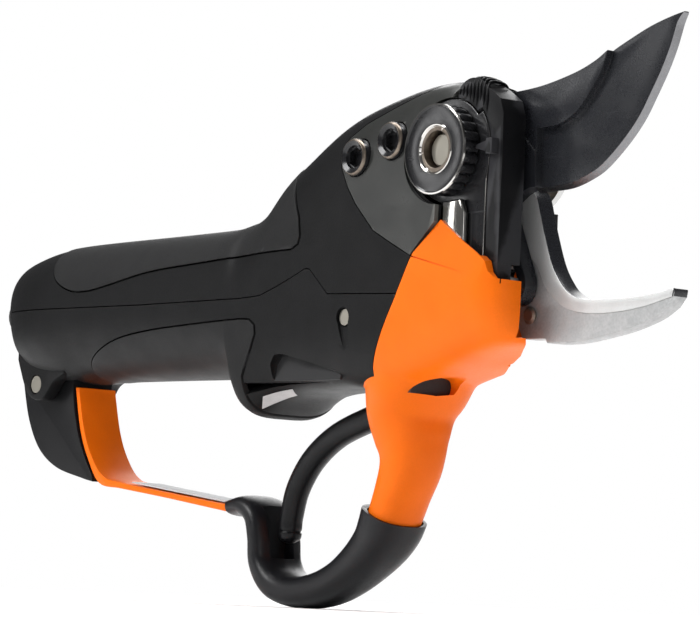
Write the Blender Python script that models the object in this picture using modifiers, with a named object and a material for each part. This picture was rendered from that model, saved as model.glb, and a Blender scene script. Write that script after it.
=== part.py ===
"""Powered pruning shears: hand-piece with casing, cutting head, drive and trigger guard.

All sizes are millimetres in the tool frame: origin on the blade pivot, +X forward along the handle axis,
+Y to the tool's left, +Z up. SHIFT moves that frame so the object stands on Z = 0, centred on X.
"""
import math

import bmesh
import bpy
from mathutils import Matrix, Vector

SHIFT = Vector((71.9, 0.2, 120.454))
GAP = 0.3
WALL = 3.0
PANEL = 1.3
RING = 28

BOLT_R = 5.0
HUB_R = 15.5
POCKET_R = 14.2
PLATE_R = 13.7
LOBE_R = 15.6
NUT_R = 12.0
BLADE_NEAR = -6.2
BLADE_FAR = -2.0
GRIND_NEAR = -3.7
LATCH_NEAR = -15.2
LATCH_FAR = -7.5
HOOK_NEAR = -1.8
HOOK_FAR = 3.5

SCREW_Z = -36.0
ARM_ANGLE = math.radians(24.0)
PIN_R = 2.2
SLOT_CLEAR = 0.4
PIN_X = 15.85

LATCH_AXIS = (17.0, -38.5)
TRIGGER_AXIS = (-30.0, -66.0)
GUARD_SCREW = (-190.6, -56.8)
HEAD_SCREWS = ((-34.2, 0.4), (-19.4, 3.8))

GEAR_MODULE = 0.5
SUN_TEETH = 15
RING_TEETH = 45
PLANET_ORBIT = 7.5

# Body sections along X: top, bottom, half width and squareness of the section.
TOP = (
    (-216, -28.0), (-214.5, -24.0), (-212, -21.4), (-208, -19.4), (-199, -17.4), (-185, -15.4),
    (-170, -14.7), (-128, -14.3), (-104, -14.0), (-98, -13.8), (-92, -13.0), (-86, -11.5), (-78, -7.5),
    (-70, 0.0), (-61, 5.6), (-50, 11.6), (-40, 15.2), (-23, 18.7), (-12, 20.0), (-4, 20.0), (6, 17.5),
    (24, 14.0),
)
BOTTOM = (
    (-216, -32.5), (-214.6, -39.0), (-210, -46.0), (-204, -51.5), (-195, -55.4), (-180, -56.6),
    (-160, -55.6), (-103, -56.0), (-92.4, -56.2), (-89.6, -57.6), (-88.2, -62.0), (-86.8, -66.2),
    (-84.8, -67.8), (-81.6, -66.9), (-78, -64.8), (-73, -62.6), (-66, -61.3), (-58, -60.7), (-48, -60.3),
    (-36, -61.0), (-24, -61.4), (-9, -58.0), (6, -54.2), (17, -51.6), (24, -50.4),
)
HALF = (
    (-216, 2.6), (-214.8, 5.6), (-212, 8.6), (-208, 11.4), (-202, 14.6), (-192, 17.6), (-178, 19.2),
    (0, 19.4), (14, 19.2), (18.5, 18.2), (21.5, 16.2), (23.2, 13.6), (24, 11.0),
)
# Squareness of the upper and of the lower half of the section.
SQUARE = (
    (-216, 2.2), (-180, 2.4), (-110, 2.4), (-84, 2.6), (-60, 2.8), (-30, 3.2), (0, 3.6), (24, 4.2),
)
SQUARE_LOW = (
    (-216, 2.2), (-180, 2.4), (-110, 2.4), (-95, 2.8), (-84, 3.6), (-60, 4.2), (-30, 4.6), (24, 4.6),
)

# Casing split line, from the rear end to the front cover.
SEAM = (
    (-226, -34.4), (-130, -35.6), (-82, -35.6), (-73.5, -35.2), (-66, -33.0), (-59, -30.6),
    (-53.6, -28.6), (-51.6, -28.9), (-47.6, -32.4), (-43.7, -35.9), (-30, -36.4), (-10, -37.0),
)
# Rear edge of the front cover, from the bottom up to its peak.
COVER_EDGE = (
    (-60, -62.8), (-28.4, -62.8), (-26.6, -56.4), (-20.8, -46.4), (-15.9, -38.7), (-9.0, -26.6),
    (0.5, -18.3),
)
COVER_FRONT = (
    (4.6, -21.0), (9.5, -24.2), (14.7, -27.3), (18.3, -29.8), (19.2, -32.6), (21.0, -34.3),
    (24.4, -34.8), (40, -35.2),
)
PLATE_EDGE = (
    (-3.0, 22.0), (-12.0, 17.4), (-34.7, 9.9), (-40.6, 6.4), (-42.4, 2.6), (-41.0, -1.6), (-37.0, -7.4),
    (-33.3, -12.0), (-25.3, -19.7), (-17.3, -23.6), (-10.0, -27.0), (-0.6, -18.7), (-0.2, 22.0),
)


def point(x, y, z):
    return (Vector((x, y, z)) + SHIFT) * 0.001


def curve_value(table, x):
    """Smooth value of a station table at x."""
    if x <= table[0][0]:
        return table[0][1]
    for i in range(len(table) - 1):
        x0, v0 = table[i]
        x1, v1 = table[i + 1]
        if x <= x1:
            before = table[max(i - 1, 0)]
            after = table[min(i + 2, len(table) - 1)]
            m0 = (v1 - before[1]) / max(x1 - before[0], 1e-6)
            m1 = (after[1] - v0) / max(after[0] - x0, 1e-6)
            secant = (v1 - v0) / (x1 - x0)
            m0 = max(min(m0, 3 * abs(secant)), -3 * abs(secant)) if secant * m0 > 0 else 0.0
            m1 = max(min(m1, 3 * abs(secant)), -3 * abs(secant)) if secant * m1 > 0 else 0.0
            h = x1 - x0
            t = (x - x0) / h
            return (
                v0 * (1 + 2 * t) * (1 - t) ** 2 + m0 * h * t * (1 - t) ** 2
                + v1 * t * t * (3 - 2 * t) + m1 * h * t * t * (t - 1)
            )
    return table[-1][1]


def smooth_path(keys, steps):
    """Catmull-Rom curve through keys of any width."""
    out = []
    for i in range(len(keys) - 1):
        p0 = keys[max(i - 1, 0)]
        p1 = keys[i]
        p2 = keys[i + 1]
        p3 = keys[min(i + 2, len(keys) - 1)]
        for s in range(steps):
            t = s / steps
            out.append(tuple(
                0.5 * (2 * b + (c - a) * t + (2 * a - 5 * b + 4 * c - d) * t * t
                       + (3 * b - a - 3 * c + d) * t ** 3)
                for a, b, c, d in zip(p0, p1, p2, p3)
            ))
    out.append(tuple(keys[-1]))
    return out


def arc(cx, cz, r, start, end, steps):
    """Points on an arc in the XZ plane, angles in degrees from +X towards +Z."""
    return [
        (cx + r * math.cos(math.radians(start + (end - start) * i / steps)),
         cz + r * math.sin(math.radians(start + (end - start) * i / steps)))
        for i in range(steps + 1)
    ]


for stale in list(bpy.data.objects):
    bpy.data.objects.remove(stale)
part = bpy.data.collections.new("pruning_shears")
bpy.context.scene.collection.children.link(part)
palette = {}


def material(name, colour, roughness, metallic):
    mat = bpy.data.materials.new(name)
    mat.use_nodes = True
    shader = mat.node_tree.nodes["Principled BSDF"]
    shader.inputs["Base Color"].default_value = (*colour, 1.0)
    shader.inputs["Roughness"].default_value = roughness
    shader.inputs["Metallic"].default_value = metallic
    mat.diffuse_color = (*colour, 1.0)
    palette[name] = mat


material("black_plastic", (0.035, 0.035, 0.036), 0.62, 0.0)
material("grip_rubber", (0.03, 0.03, 0.031), 0.75, 0.0)
material("soft_rubber", (0.025, 0.025, 0.027), 0.5, 0.0)
material("orange_plastic", (0.93, 0.22, 0.02), 0.42, 0.0)
material("satin_plate", (0.06, 0.065, 0.06), 0.38, 0.7)
material("polished_steel", (0.62, 0.62, 0.61), 0.14, 1.0)
material("ground_steel", (0.52, 0.53, 0.54), 0.3, 1.0)
material("cast_steel", (0.46, 0.47, 0.48), 0.45, 1.0)
material("coated_blade", (0.02, 0.021, 0.023), 0.32, 0.4)
material("dark_chrome", (0.08, 0.08, 0.085), 0.22, 1.0)
material("latch_plastic", (0.02, 0.02, 0.021), 0.4, 0.0)
material("zinc_screw", (0.34, 0.32, 0.28), 0.34, 1.0)
material("brass", (0.7, 0.5, 0.2), 0.3, 1.0)
material("motor_can", (0.2, 0.2, 0.22), 0.35, 0.9)
material("board_green", (0.02, 0.16, 0.07), 0.5, 0.0)
material("chip_black", (0.02, 0.02, 0.02), 0.4, 0.0)
material("label_grey", (0.62, 0.63, 0.64), 0.5, 0.0)
material("magnet", (0.4, 0.4, 0.42), 0.25, 1.0)


def new_object(name, bm):
    bmesh.ops.remove_doubles(bm, verts=bm.verts, dist=1e-6)
    bmesh.ops.recalc_face_normals(bm, faces=bm.faces)
    mesh = bpy.data.meshes.new(name)
    bm.to_mesh(mesh)
    bm.free()
    obj = bpy.data.objects.new(name, mesh)
    bpy.context.scene.collection.objects.link(obj)
    return obj


def rings_to_bmesh(rings):
    """Skin of quads over closed rings, with a flat cap at each end."""
    bm = bmesh.new()
    rows = [[bm.verts.new(p) for p in ring] for ring in rings]
    count = len(rings[0])
    for low, high in zip(rows, rows[1:]):
        for i in range(count):
            bm.faces.new((low[i], low[(i + 1) % count], high[(i + 1) % count], high[i]))
    bm.faces.new(rows[0])
    bm.faces.new(rows[-1])
    return bm


def superellipse(half_a, half_b, power, count, low_power=None):
    """Ring points of a rounded rectangle, evenly spread in angle; the lower half may be squarer."""
    out = []
    for i in range(count):
        t = 2 * math.pi * (i + 0.5) / count
        c = math.cos(t)
        s = math.sin(t)
        bend = 2 / (low_power if low_power and s < 0 else power)
        out.append((
            half_a * math.copysign(abs(c) ** bend, c),
            half_b * math.copysign(abs(s) ** bend, s),
        ))
    return out


def body_stations(name, inset, xs, count):
    """Skin of the body through stations xs, inset from its surface."""
    rings = []
    for x in xs:
        top = curve_value(TOP, x) - inset
        low = curve_value(BOTTOM, x) + inset
        half = curve_value(HALF, x) - inset
        power = curve_value(SQUARE, x)
        low_power = curve_value(SQUARE_LOW, x)
        mid = (top + low) / 2
        rings.append([
            point(x, y, mid + z)
            for y, z in superellipse(half, (top - low) / 2, power, count, low_power)
        ])
    return new_object(name, rings_to_bmesh(rings))


def sweep(name, keys, steps, count, power=2.0):
    """Section swept along a path in the XZ plane; each key is x, z, half depth in plane, half width in Y."""
    path = smooth_path(keys, steps)
    rings = []
    for i, (x, z, a, b) in enumerate(path):
        before = path[max(i - 1, 0)]
        after = path[min(i + 1, len(path) - 1)]
        along = Vector((after[0] - before[0], after[1] - before[1])).normalized()
        across = Vector((-along.y, along.x))
        rings.append([
            point(x + across.x * u, v, z + across.y * u) for u, v in superellipse(a, b, power, count)
        ])
    return new_object(name, rings_to_bmesh(rings))


def prism(name, outline, y0, y1):
    """Outline in the XZ plane carried from y0 to y1."""
    bm = bmesh.new()
    face = bm.faces.new([bm.verts.new(point(x, y0, z)) for x, z in outline])
    moved = bmesh.ops.extrude_face_region(bm, geom=[face])
    verts = [v for v in moved["geom"] if isinstance(v, bmesh.types.BMVert)]
    bmesh.ops.translate(bm, verts=verts, vec=Vector((0, (y1 - y0) * 0.001, 0)))
    return new_object(name, bm)


def flat_prism(name, outline, z0, z1):
    """Outline in the XY plane carried from z0 to z1."""
    bm = bmesh.new()
    face = bm.faces.new([bm.verts.new(point(x, y, z0)) for x, y in outline])
    moved = bmesh.ops.extrude_face_region(bm, geom=[face])
    verts = [v for v in moved["geom"] if isinstance(v, bmesh.types.BMVert)]
    bmesh.ops.translate(bm, verts=verts, vec=Vector((0, 0, (z1 - z0) * 0.001)))
    return new_object(name, bm)


def box(name, x0, x1, y0, y1, z0, z1):
    bm = bmesh.new()
    bmesh.ops.create_cube(bm, size=1.0)
    bmesh.ops.scale(bm, verts=bm.verts, vec=Vector((x1 - x0, y1 - y0, z1 - z0)) * 0.001)
    centre = point((x0 + x1) / 2, (y0 + y1) / 2, (z0 + z1) / 2)
    bmesh.ops.translate(bm, verts=bm.verts, vec=centre)
    return new_object(name, bm)


def turned(name, profile, origin, axis, steps=40):
    """Solid of revolution: profile of (radius, distance along axis) pairs, closed on itself."""
    bm = bmesh.new()
    verts = [bm.verts.new((r * 0.001, 0, h * 0.001)) for r, h in profile]
    edges = [bm.edges.new((verts[i], verts[(i + 1) % len(verts)])) for i in range(len(verts))]
    keep = [e for e in edges if not (e.verts[0].co.x < 1e-7 and e.verts[1].co.x < 1e-7)]
    bmesh.ops.spin(
        bm, geom=keep + verts, cent=(0, 0, 0), axis=(0, 0, 1),
        angle=2 * math.pi, steps=steps, use_merge=True,
    )
    bmesh.ops.remove_doubles(bm, verts=bm.verts, dist=1e-6)
    loose = [e for e in bm.edges if not e.link_faces]
    bmesh.ops.delete(bm, geom=loose, context="EDGES")
    turn = Vector((0, 0, 1)).rotation_difference(Vector(axis)).to_matrix().to_4x4()
    bmesh.ops.transform(bm, matrix=Matrix.Translation(point(*origin)) @ turn, verts=bm.verts)
    return new_object(name, bm)


def rod(name, r, origin, axis, start, end, steps=32):
    bm = bmesh.new()
    bmesh.ops.create_cone(
        bm, cap_ends=True, segments=steps, radius1=r * 0.001, radius2=r * 0.001, depth=(end - start) * 0.001)
    bmesh.ops.translate(bm, verts=bm.verts, vec=Vector((0, 0, (start + end) * 0.0005)))
    turn = Vector((0, 0, 1)).rotation_difference(Vector(axis)).to_matrix().to_4x4()
    bmesh.ops.transform(bm, matrix=Matrix.Translation(point(*origin)) @ turn, verts=bm.verts)
    return new_object(name, bm)


def tube(name, r_in, r_out, origin, axis, start, end, steps=32):
    return turned(name, ((r_in, start), (r_out, start), (r_out, end), (r_in, end)), origin, axis, steps)


def combine(obj, tools, operation):
    """Boolean of obj with each tool in turn; the tools are used up."""
    for tool in tools:
        mod = obj.modifiers.new(operation.lower(), "BOOLEAN")
        mod.operation = operation
        mod.solver = "EXACT"
        mod.object = tool
        settle(obj)
        bpy.data.objects.remove(tool)
    return obj


def settle(obj):
    """Replace the mesh by the result of its modifiers."""
    graph = bpy.context.evaluated_depsgraph_get()
    mesh = bpy.data.meshes.new_from_object(obj.evaluated_get(graph))
    obj.modifiers.clear()
    obj.data = mesh
    return obj


def soften(obj, width, segments=2, angle=35):
    mod = obj.modifiers.new("bevel", "BEVEL")
    mod.width = width * 0.001
    mod.segments = segments
    mod.limit_method = "ANGLE"
    mod.angle_limit = math.radians(angle)
    return settle(obj)


def finish(obj, name, mat, pivot=None):
    """Name a piece, paint it, link it with the part and put its origin on its joint axis."""
    obj.name = name
    obj.data.materials.clear()
    obj.data.materials.append(palette[mat])
    for poly in obj.data.polygons:
        poly.material_index = 0
    for coll in list(obj.users_collection):
        coll.objects.unlink(obj)
    part.objects.link(obj)
    if pivot:
        at = point(*pivot)
        obj.data.transform(Matrix.Translation(-at))
        obj.location = at
    obj.data.shade_smooth()
    obj.data.set_sharp_from_angle(angle=math.radians(35))
    return obj


def shifted(points, dx, dz):
    return [(x + dx, z + dz) for x, z in points]


def spaced(start, end, step):
    count = max(1, round((end - start) / step))
    return [start + (end - start) * i / count for i in range(count + 1)]


OUTER_X = (
    [-216, -214.6, -212, -208, -203, -196, -185, -165, -140, -115]
    + [-103, -97, -92.4, -89.4, -88, -86.6, -84, -78, -70, -60]
    + spaced(-50, 14, 10.6) + [18, 21, 23, 24]
)
INNER_X = [-210.5, -205, -197, -180, -150, -115, -98, -87.6, -82.6, -76, -62, -45, -25, 0, 21]
upper_region = (
    shifted(SEAM[:-1], 0, 0.15) + [(-15.1, -36.85)] + shifted(COVER_EDGE[5:], -0.25, 0.1)
    + [(4.6, -18.4), (4.6, -13.0), (15.6, -9.0), (17.0, 0.0), (15.0, 9.0), (9.0, 12.4), (0.6, 13.8),
       (-1.6, 15.9), (-2.6, 60), (-226, 60)]
)
lower_region = (
    shifted(SEAM[:-1], 0, -0.15) + [(-15.3, -37.15)]
    + [(x - 0.25, z + 0.1) for x, z in reversed(COVER_EDGE[1:5])] + [(-29.2, -90), (-226, -90)]
)
cover_region = list(COVER_EDGE[1:]) + list(COVER_FRONT) + [(40, -90), (-29, -90)]


def shell(name, region):
    outer = body_stations(name, 0.0, OUTER_X, RING)
    combine(outer, [body_stations("inner", WALL, INNER_X, 20)], "DIFFERENCE")
    combine(outer, [prism("region", region, -40, 40)], "INTERSECT")
    return outer


TOP_PAD = smooth_path((
    (-181, -4), (-180.6, -14.0), (-179.2, -20.0), (-174.5, -26.0), (-166, -29.6), (-157, -30.2),
    (-146, -28.8), (-127, -25.8), (-103, -24.3), (-78, -23.2), (-60, -22.8),
), 3) + [(-56.6, -20.4), (-57.6, -14.6), (-62, -7), (-67.0, 1.0), (-73.6, 14), (-76, 26), (-181, 26)]
LOW_PAD = smooth_path((
    (-166, -62), (-164.4, -56.0), (-158, -50.4), (-144, -45.6), (-127, -43.4), (-103, -42.2), (-82, -41.6),
), 3) + [(-76.4, -41.6), (-74.0, -44.6), (-76.6, -49.5), (-81.4, -57.2), (-83.2, -80), (-166, -80)]


def grown_prism(name, outline, y0, y1, grow):
    """Outline in the XZ plane, pushed out by a clearance and carried from y0 to y1."""
    obj = prism(name, outline, y0, y1)
    bm = bmesh.new()
    bm.from_mesh(obj.data)
    shift = {}
    for v in bm.verts:
        n = Vector((0, 0, 0))
        for f in v.link_faces:
            if abs(f.normal.y) < 0.5:
                n += f.normal
        shift[v] = n.normalized() * grow * 0.001
    for v, d in shift.items():
        v.co += d
    bm.to_mesh(obj.data)
    bm.free()
    return obj


def inlay(name, outline, mat, y0=-40, y1=40):
    """Skin panel between y0 and y1, and the recess body that makes room for it."""
    sheet = body_stations(name, 0.0, OUTER_X, RING)
    combine(sheet, [body_stations("under", PANEL, OUTER_X, RING)], "DIFFERENCE")
    combine(sheet, [prism("window", outline, y0, y1)], "INTERSECT")
    recess = body_stations("recess", -3.0, OUTER_X, RING)
    combine(recess, [body_stations("under", PANEL + GAP, OUTER_X, RING)], "DIFFERENCE")
    combine(recess, [grown_prism("window", outline, y0, y1, GAP)], "INTERSECT")
    finish(sheet, name, mat)
    return recess


# Casing halves.
upper = shell("upper", upper_region)
lower = shell("lower", lower_region)
# The head is open where the nut, the latch and the pivot washers sit.
combine(upper, [
    rod("pocket", POCKET_R, (0, 0, 0), (0, 1, 0), -30, -12.6, 48),
    rod("pocket", POCKET_R, (0, 0, 0), (0, 1, 0), 12.6, 30, 48),
    box("latch_room", 1.6, 40, -30, -7.0, -17.6, 60),
    box("plate_room", -1.4, 40, -30, -7.0, -40, -9.0),
], "DIFFERENCE")
recess = inlay("grip_pad_top", TOP_PAD, "grip_rubber")
combine(upper, [recess], "DIFFERENCE")
recess = inlay("grip_pad_bottom", LOW_PAD, "grip_rubber")
combine(lower, [recess], "DIFFERENCE")
recess = inlay("side_plate_right", PLATE_EDGE, "satin_plate", y1=-10)
combine(upper, [recess], "DIFFERENCE")
recess = inlay("side_plate_left", PLATE_EDGE, "satin_plate", y0=10)
combine(upper, [recess], "DIFFERENCE")

for name in ("side_plate_right", "side_plate_left"):
    plate = bpy.data.objects[name]
    side = -1 if name.endswith("right") else 1
    combine(plate, [rod("pocket", POCKET_R + 0.1, (0, 0, 0), (0, side, 0), 0, 30, 48)], "DIFFERENCE")

# Head screws with their clearance holes, sleeves and far nuts.
for i, (x, z) in enumerate(HEAD_SCREWS):
    at = (x, 0, z)
    screw = rod("head_screw", 5.0, at, (0, 1, 0), -20.4, -15.6, 32)
    combine(screw, [rod("shank", 2.2, at, (0, 1, 0), -16.2, 17.0, 20)], "UNION")
    combine(screw, [rod("hex", 2.9, at, (0, 1, 0), -21, -17.4, 6)], "DIFFERENCE")
    finish(screw, "head_screw_%d" % (i + 1), "zinc_screw")
    nut = rod("nut", 5.0, at, (0, 1, 0), 15.8, 19.0, 6)
    combine(nut, [rod("bore", 2.5, at, (0, 1, 0), 0, 30, 20)], "DIFFERENCE")
    finish(nut, "head_screw_nut_%d" % (i + 1), "zinc_screw")
    for label, y0, y1 in (("near", -13.6, HOOK_NEAR - 0.3), ("far", HOOK_FAR + 0.3, 13.2)):
        sleeve = tube("sleeve", 2.5, 4.0, at, (0, 1, 0), y0, y1, 20)
        finish(sleeve, "head_sleeve_%s_%d" % (label, i + 1), "zinc_screw")
    combine(upper, [
        rod("bore", 5.3, at, (0, 1, 0), -30, -15.3, 32),
        rod("bore", 2.6, at, (0, 1, 0), -30, 30, 24),
        rod("bore", 5.4, at, (0, 1, 0), 15.5, 30, 24),
    ], "DIFFERENCE")
    near_bore = rod("bore", 5.3, at, (0, 1, 0), -30, -10, 32)
    combine(bpy.data.objects["side_plate_right"], [near_bore], "DIFFERENCE")
    far_bore = rod("bore", 5.4, at, (0, 1, 0), 10, 30, 24)
    combine(bpy.data.objects["side_plate_left"], [far_bore], "DIFFERENCE")

# Rear lugs for the guard, and the guard arm between them.
guard_screw_at = (GUARD_SCREW[0], 0, GUARD_SCREW[1])
lug = smooth_path((
    (-201, -49), (-199.6, -52.0), (-196.6, -57.5), (-192.6, -61.0), (-187.6, -61.4), (-184.2, -58.9),
    (-181.4, -56.0), (-176, -53.8),
), 2) + [(-176, -50), (-184, -47), (-201, -46)]
for y0, y1 in ((-12.6, -8.1), (8.1, 12.6)):
    combine(lower, [prism("lug", lug, y0, y1)], "UNION")
combine(lower, [
    box("slot", -206.4, -175.6, -7.9, 7.9, -66, -49.0),
    rod("bore", 1.8, guard_screw_at, (0, 1, 0), -20, 20, 20),
    rod("sink", 2.9, guard_screw_at, (0, 1, 0), -20, -11.2, 24),
], "DIFFERENCE")
arm_outer = smooth_path((
    (-206.0, -51.4), (-204.9, -56.3), (-201.3, -67.1), (-195.1, -76.0), (-185.6, -81.6), (-172.2, -84.8),
    (-166.2, -85.9),
), 3)
arm_inner = smooth_path((
    (-166.6, -84.4), (-171.2, -78.2), (-175.2, -70.6), (-178.1, -60.4), (-178.7, -51.4),
), 3)
arm = prism("arm", arm_outer + arm_inner, -7.2, 7.2)
soften(arm, 1.6, 2, 40)
combine(arm, [rod("bore", 1.8, guard_screw_at, (0, 1, 0), -20, 20, 20)], "DIFFERENCE")
finish(arm, "guard_arm", "black_plastic")
screw = rod("screw", 1.5, guard_screw_at, (0, 1, 0), -11.2, 12.0, 20)
combine(screw, [rod("head", 2.6, guard_screw_at, (0, 1, 0), -12.4, -10.9, 24)], "UNION")
combine(lower, [rod("seat", 2.9, guard_screw_at, (0, 1, 0), -20, -10.6, 24)], "DIFFERENCE")
finish(screw, "guard_screw", "zinc_screw")

strip_inner = smooth_path((
    (-176.0, -57.6), (-175.4, -60.5), (-172.4, -70.5), (-168.2, -78.0), (-161.9, -84.0), (-152, -86.2),
    (-109.7, -91.3), (-100.2, -92.2),
), 3)
strip_outer = smooth_path((
    (-100.2, -94.3), (-131.5, -90.3), (-152, -87.9), (-163.4, -86.3), (-169.9, -78.9), (-174.2, -70.9),
    (-177.1, -60.5), (-177.8, -57.6),
), 3)
strip = prism("strip", strip_inner + strip_outer, -6.7, 6.7)
combine(strip, [box("tongue", -101.0, -94.6, -4.6, 4.6, -93.7, -92.6)], "UNION")
finish(strip, "guard_strip", "orange_plastic")
label = prism("label", ((-149, -86.15), (-103.6, -91.55), (-103.6, -91.2), (-149, -85.8)), -5.0, 5.0)
finish(label, "strip_label", "label_grey")

# Front cover: nose of the body plus the column that carries the guard.
cover = body_stations("cover", 0.0, OUTER_X, RING)
combine(cover, [prism("region", cover_region, -40, 40)], "INTERSECT")
column_keys = (
    (-23.0, -49.0, 14.0, 16.6), (-27.3, -60.0, 11.6, 15.2), (-29.4, -66.7, 10.4, 12.8),
    (-28.9, -73.7, 9.5, 10.2), (-28.4, -78.0, 8.3, 9.0), (-29.1, -82.4, 7.5, 8.5),
    (-31.8, -88.6, 6.7, 8.0), (-34.6, -95.0, 6.3, 7.8), (-36.3, -98.9, 6.1, 7.6),
)
column = sweep("column", column_keys, 2, 24, 2.3)
keep_out = body_stations("keep_out", -GAP, OUTER_X, RING)
behind_cover = [(-226, -38.0), (-15.6, -38.0)] + list(reversed(COVER_EDGE[1:5])) + [(-29, -90), (-226, -90)]
combine(keep_out, [prism("region", behind_cover, -40, 40)], "INTERSECT")
combine(column, [keep_out], "DIFFERENCE")
combine(column, [box("top", -60, 20, -30, 30, -52, -20)], "DIFFERENCE")
combine(cover, [column], "UNION")
inner = body_stations("inner", WALL, INNER_X, 20)
combine(inner, [box("front", -60, 20.8, -40, 40, -100, 60)], "INTERSECT")
hollow_keys = (
    (-24, -48, 10.5, 13.0), (-28.0, -60.5, 8.6, 11.6), (-29.3, -66, 7.6, 9.6), (-29.2, -72.5, 6.6, 7.6),
)
far_corner = (
    (26, -8.6), (22, -4), (12, 2), (2, 6), (-8, 13), (-20, 21), (-20, 40), (40, 40), (40, -8.6),
)
combine(cover, [
    inner,
    sweep("hollow", hollow_keys, 2, 20, 2.3),
    box("blade_slot", -12, 40, -7.2, 4.4, -49.3, 20),
    box("trigger_slot", -60, -30, -4.3, 4.3, -73.4, -60.4),
    box("far_clear", 10.5, 40, 4.2, 40, -61, 20),
    box("latch_room", 13.4, 21.9, -15.7, -6.9, -35.6, 0),
    box("eye_room", 13.6, 20.6, -15.5, -9.6, -42.2, -34),
    box("plate_room", -1.2, 16.2, -17.9, -12.8, -34.2, -10),
    box("front_slot", 19.6, 40, -8.6, 4.5, -49.1, 20),
    flat_prism("far_corner", far_corner, -80, -46),
], "DIFFERENCE")
finish(cover, "front_cover", "orange_plastic")

# Rubber sleeve and finger ring.
ring_keys = (
    (-34.9, -94.6, 7.6, 9.1), (-36.6, -98.2, 7.3, 8.9), (-39.9, -102.4, 6.5, 8.4),
    (-46.1, -107.3, 5.6, 7.9), (-53.9, -111.8, 5.0, 7.6), (-63.0, -115.0, 4.8, 7.6),
    (-73.0, -116.1, 4.4, 8.0), (-81.0, -114.0, 4.4, 8.3), (-85.9, -108.4, 4.0, 8.5),
    (-87.0, -101.4, 3.7, 8.6), (-89.2, -95.4, 3.6, 8.5), (-94.2, -92.6, 3.2, 8.3), (-99.8, -92.9, 2.6, 8.0),
)
ring = sweep("ring", ring_keys, 2, 20, 2.6)
socket = sweep("socket", (
    (-32.0, -89.6, 7.1, 8.5), (-34.6, -95.0, 6.65, 8.15), (-36.5, -99.4, 6.5, 8.0),
), 2, 24, 2.3)
combine(ring, [
    socket,
    box("tongue_room", -101.5, -94.2, -4.9, 4.9, -94.0, -92.3),
    box("trigger_groove", -87.2, -76, -4.2, 4.2, -107, -80),
], "DIFFERENCE")
finish(ring, "finger_ring", "soft_rubber")

# Trigger with its pin, spring and magnet.
tx, tz = TRIGGER_AXIS
trigger = sweep("trigger", (
    (tx - 1.5, tz - 0.2, 3.0, 3.2), (-38.4, -66.6, 3.3, 3.3), (-46.4, -68.4, 3.5, 3.5),
    (-60.2, -72.9, 3.5, 3.5), (-70.4, -79.4, 3.5, 3.5), (-76.8, -87.4, 3.4, 3.4), (-79.2, -95.0, 3.3, 3.3),
    (-79.6, -99.4, 3.3, 3.3), (-79.5, -101.6, 2.7, 2.7), (-79.4, -102.6, 1.2, 1.2),
), 2, 12)
combine(trigger, [rod("hub", 4.4, (tx, 0, tz), (0, 1, 0), -3.7, 3.7, 24)], "UNION")
combine(trigger, [box("ear", tx + 1.0, tx + 7.2, -2.4, 2.4, tz - 0.5, tz + 2.6)], "UNION")
combine(trigger, [rod("bore", 1.8, (tx, 0, tz), (0, 1, 0), -6, 6, 20)], "DIFFERENCE")
finish(trigger, "trigger", "latch_plastic", (tx, 0, tz))
pin = rod("pin", 1.5, (tx, 0, tz), (0, 1, 0), -11.0, 11.0, 20)
finish(pin, "trigger_pin", "zinc_screw")
combine(cover, [rod("bore", 1.8, (tx, 0, tz), (0, 1, 0), -11.4, 11.4, 20)], "DIFFERENCE")
magnet = rod("magnet", 1.6, (tx + 5.2, 0, tz + 2.9), (0, 0, 1), 0, 1.2, 16)
finish(magnet, "trigger_magnet", "magnet", (tx, 0, tz))

# Blade: hub, lever arm with the slot for the drive pin, and the curved cutting part.
ca = math.sin(ARM_ANGLE)
sa = -math.cos(ARM_ANGLE)
blade_outline = (
    smooth_path((
        (9.0, 15.6), (16.2, 15.7), (25.3, 16.5), (36.5, 18.7), (43.7, 21.1), (48.6, 23.6), (54.4, 25.9),
        (61.2, 28.3), (68.0, 30.0), (73.2, 30.9),
    ), 2)
    + smooth_path((
        (71.7, 28.0), (69.5, 22.2), (66.6, 16.5), (63.0, 10.8), (59.0, 5.0), (53.5, -0.6), (46.2, -6.2),
        (40.4, -8.8), (33.8, -10.5), (26.4, -10.9), (17.0, -11.3),
    ), 2)
)
arm_end = (ca * 38.2, sa * 38.2)
blade_outline += [(ca * 18 + 0.914 * 5.4, sa * 18 + 0.407 * 5.4)]
blade_outline += arc(arm_end[0], arm_end[1], 5.4, 24, -156, 10)
blade_outline += arc(0, 0, HUB_R, -88, -275, 26)
blade = prism("blade", blade_outline, BLADE_NEAR, BLADE_FAR)
slot_r = PIN_R + SLOT_CLEAR
slot = arc(ca * 39.6, sa * 39.6, slot_r, -156, 24, 8) + arc(ca * 35.6, sa * 35.6, slot_r, 24, 204, 8)
combine(blade, [
    prism("slot", slot, -12, 4),
    rod("bore", BOLT_R + 0.3, (0, 0, 0), (0, 1, 0), -12, 4, 40),
], "DIFFERENCE")
# Hollow-ground area in front of the thick root, then the narrow sharpened edge.
ground_area = smooth_path((
    (22.6, 5.7), (29.4, 5.6), (36.8, 8.4), (42.4, 13.8), (46.9, 20.2), (50.0, 30.0),
), 2) + [(100, 40), (100, -40), (24, -40), (23.5, -12), (23.0, -1.0)]
edge = smooth_path((
    (75.0, 34.0), (71.6, 31.0), (70.4, 27.6), (68.4, 22.4), (65.6, 17.0), (62.0, 11.4), (58.1, 5.7),
    (52.8, 0.3), (45.6, -5.2), (40.0, -7.7), (33.6, -9.4), (26.4, -9.8), (20, -10.2),
), 2) + [(20, -40), (100, -40), (100, 34)]
combine(blade, [
    prism("ground_area", ground_area, -20, GRIND_NEAR),
    prism("edge", edge, -20, BLADE_FAR - 0.6),
], "DIFFERENCE")
finish(blade, "blade", "coated_blade", (0, 0, 0))

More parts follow.
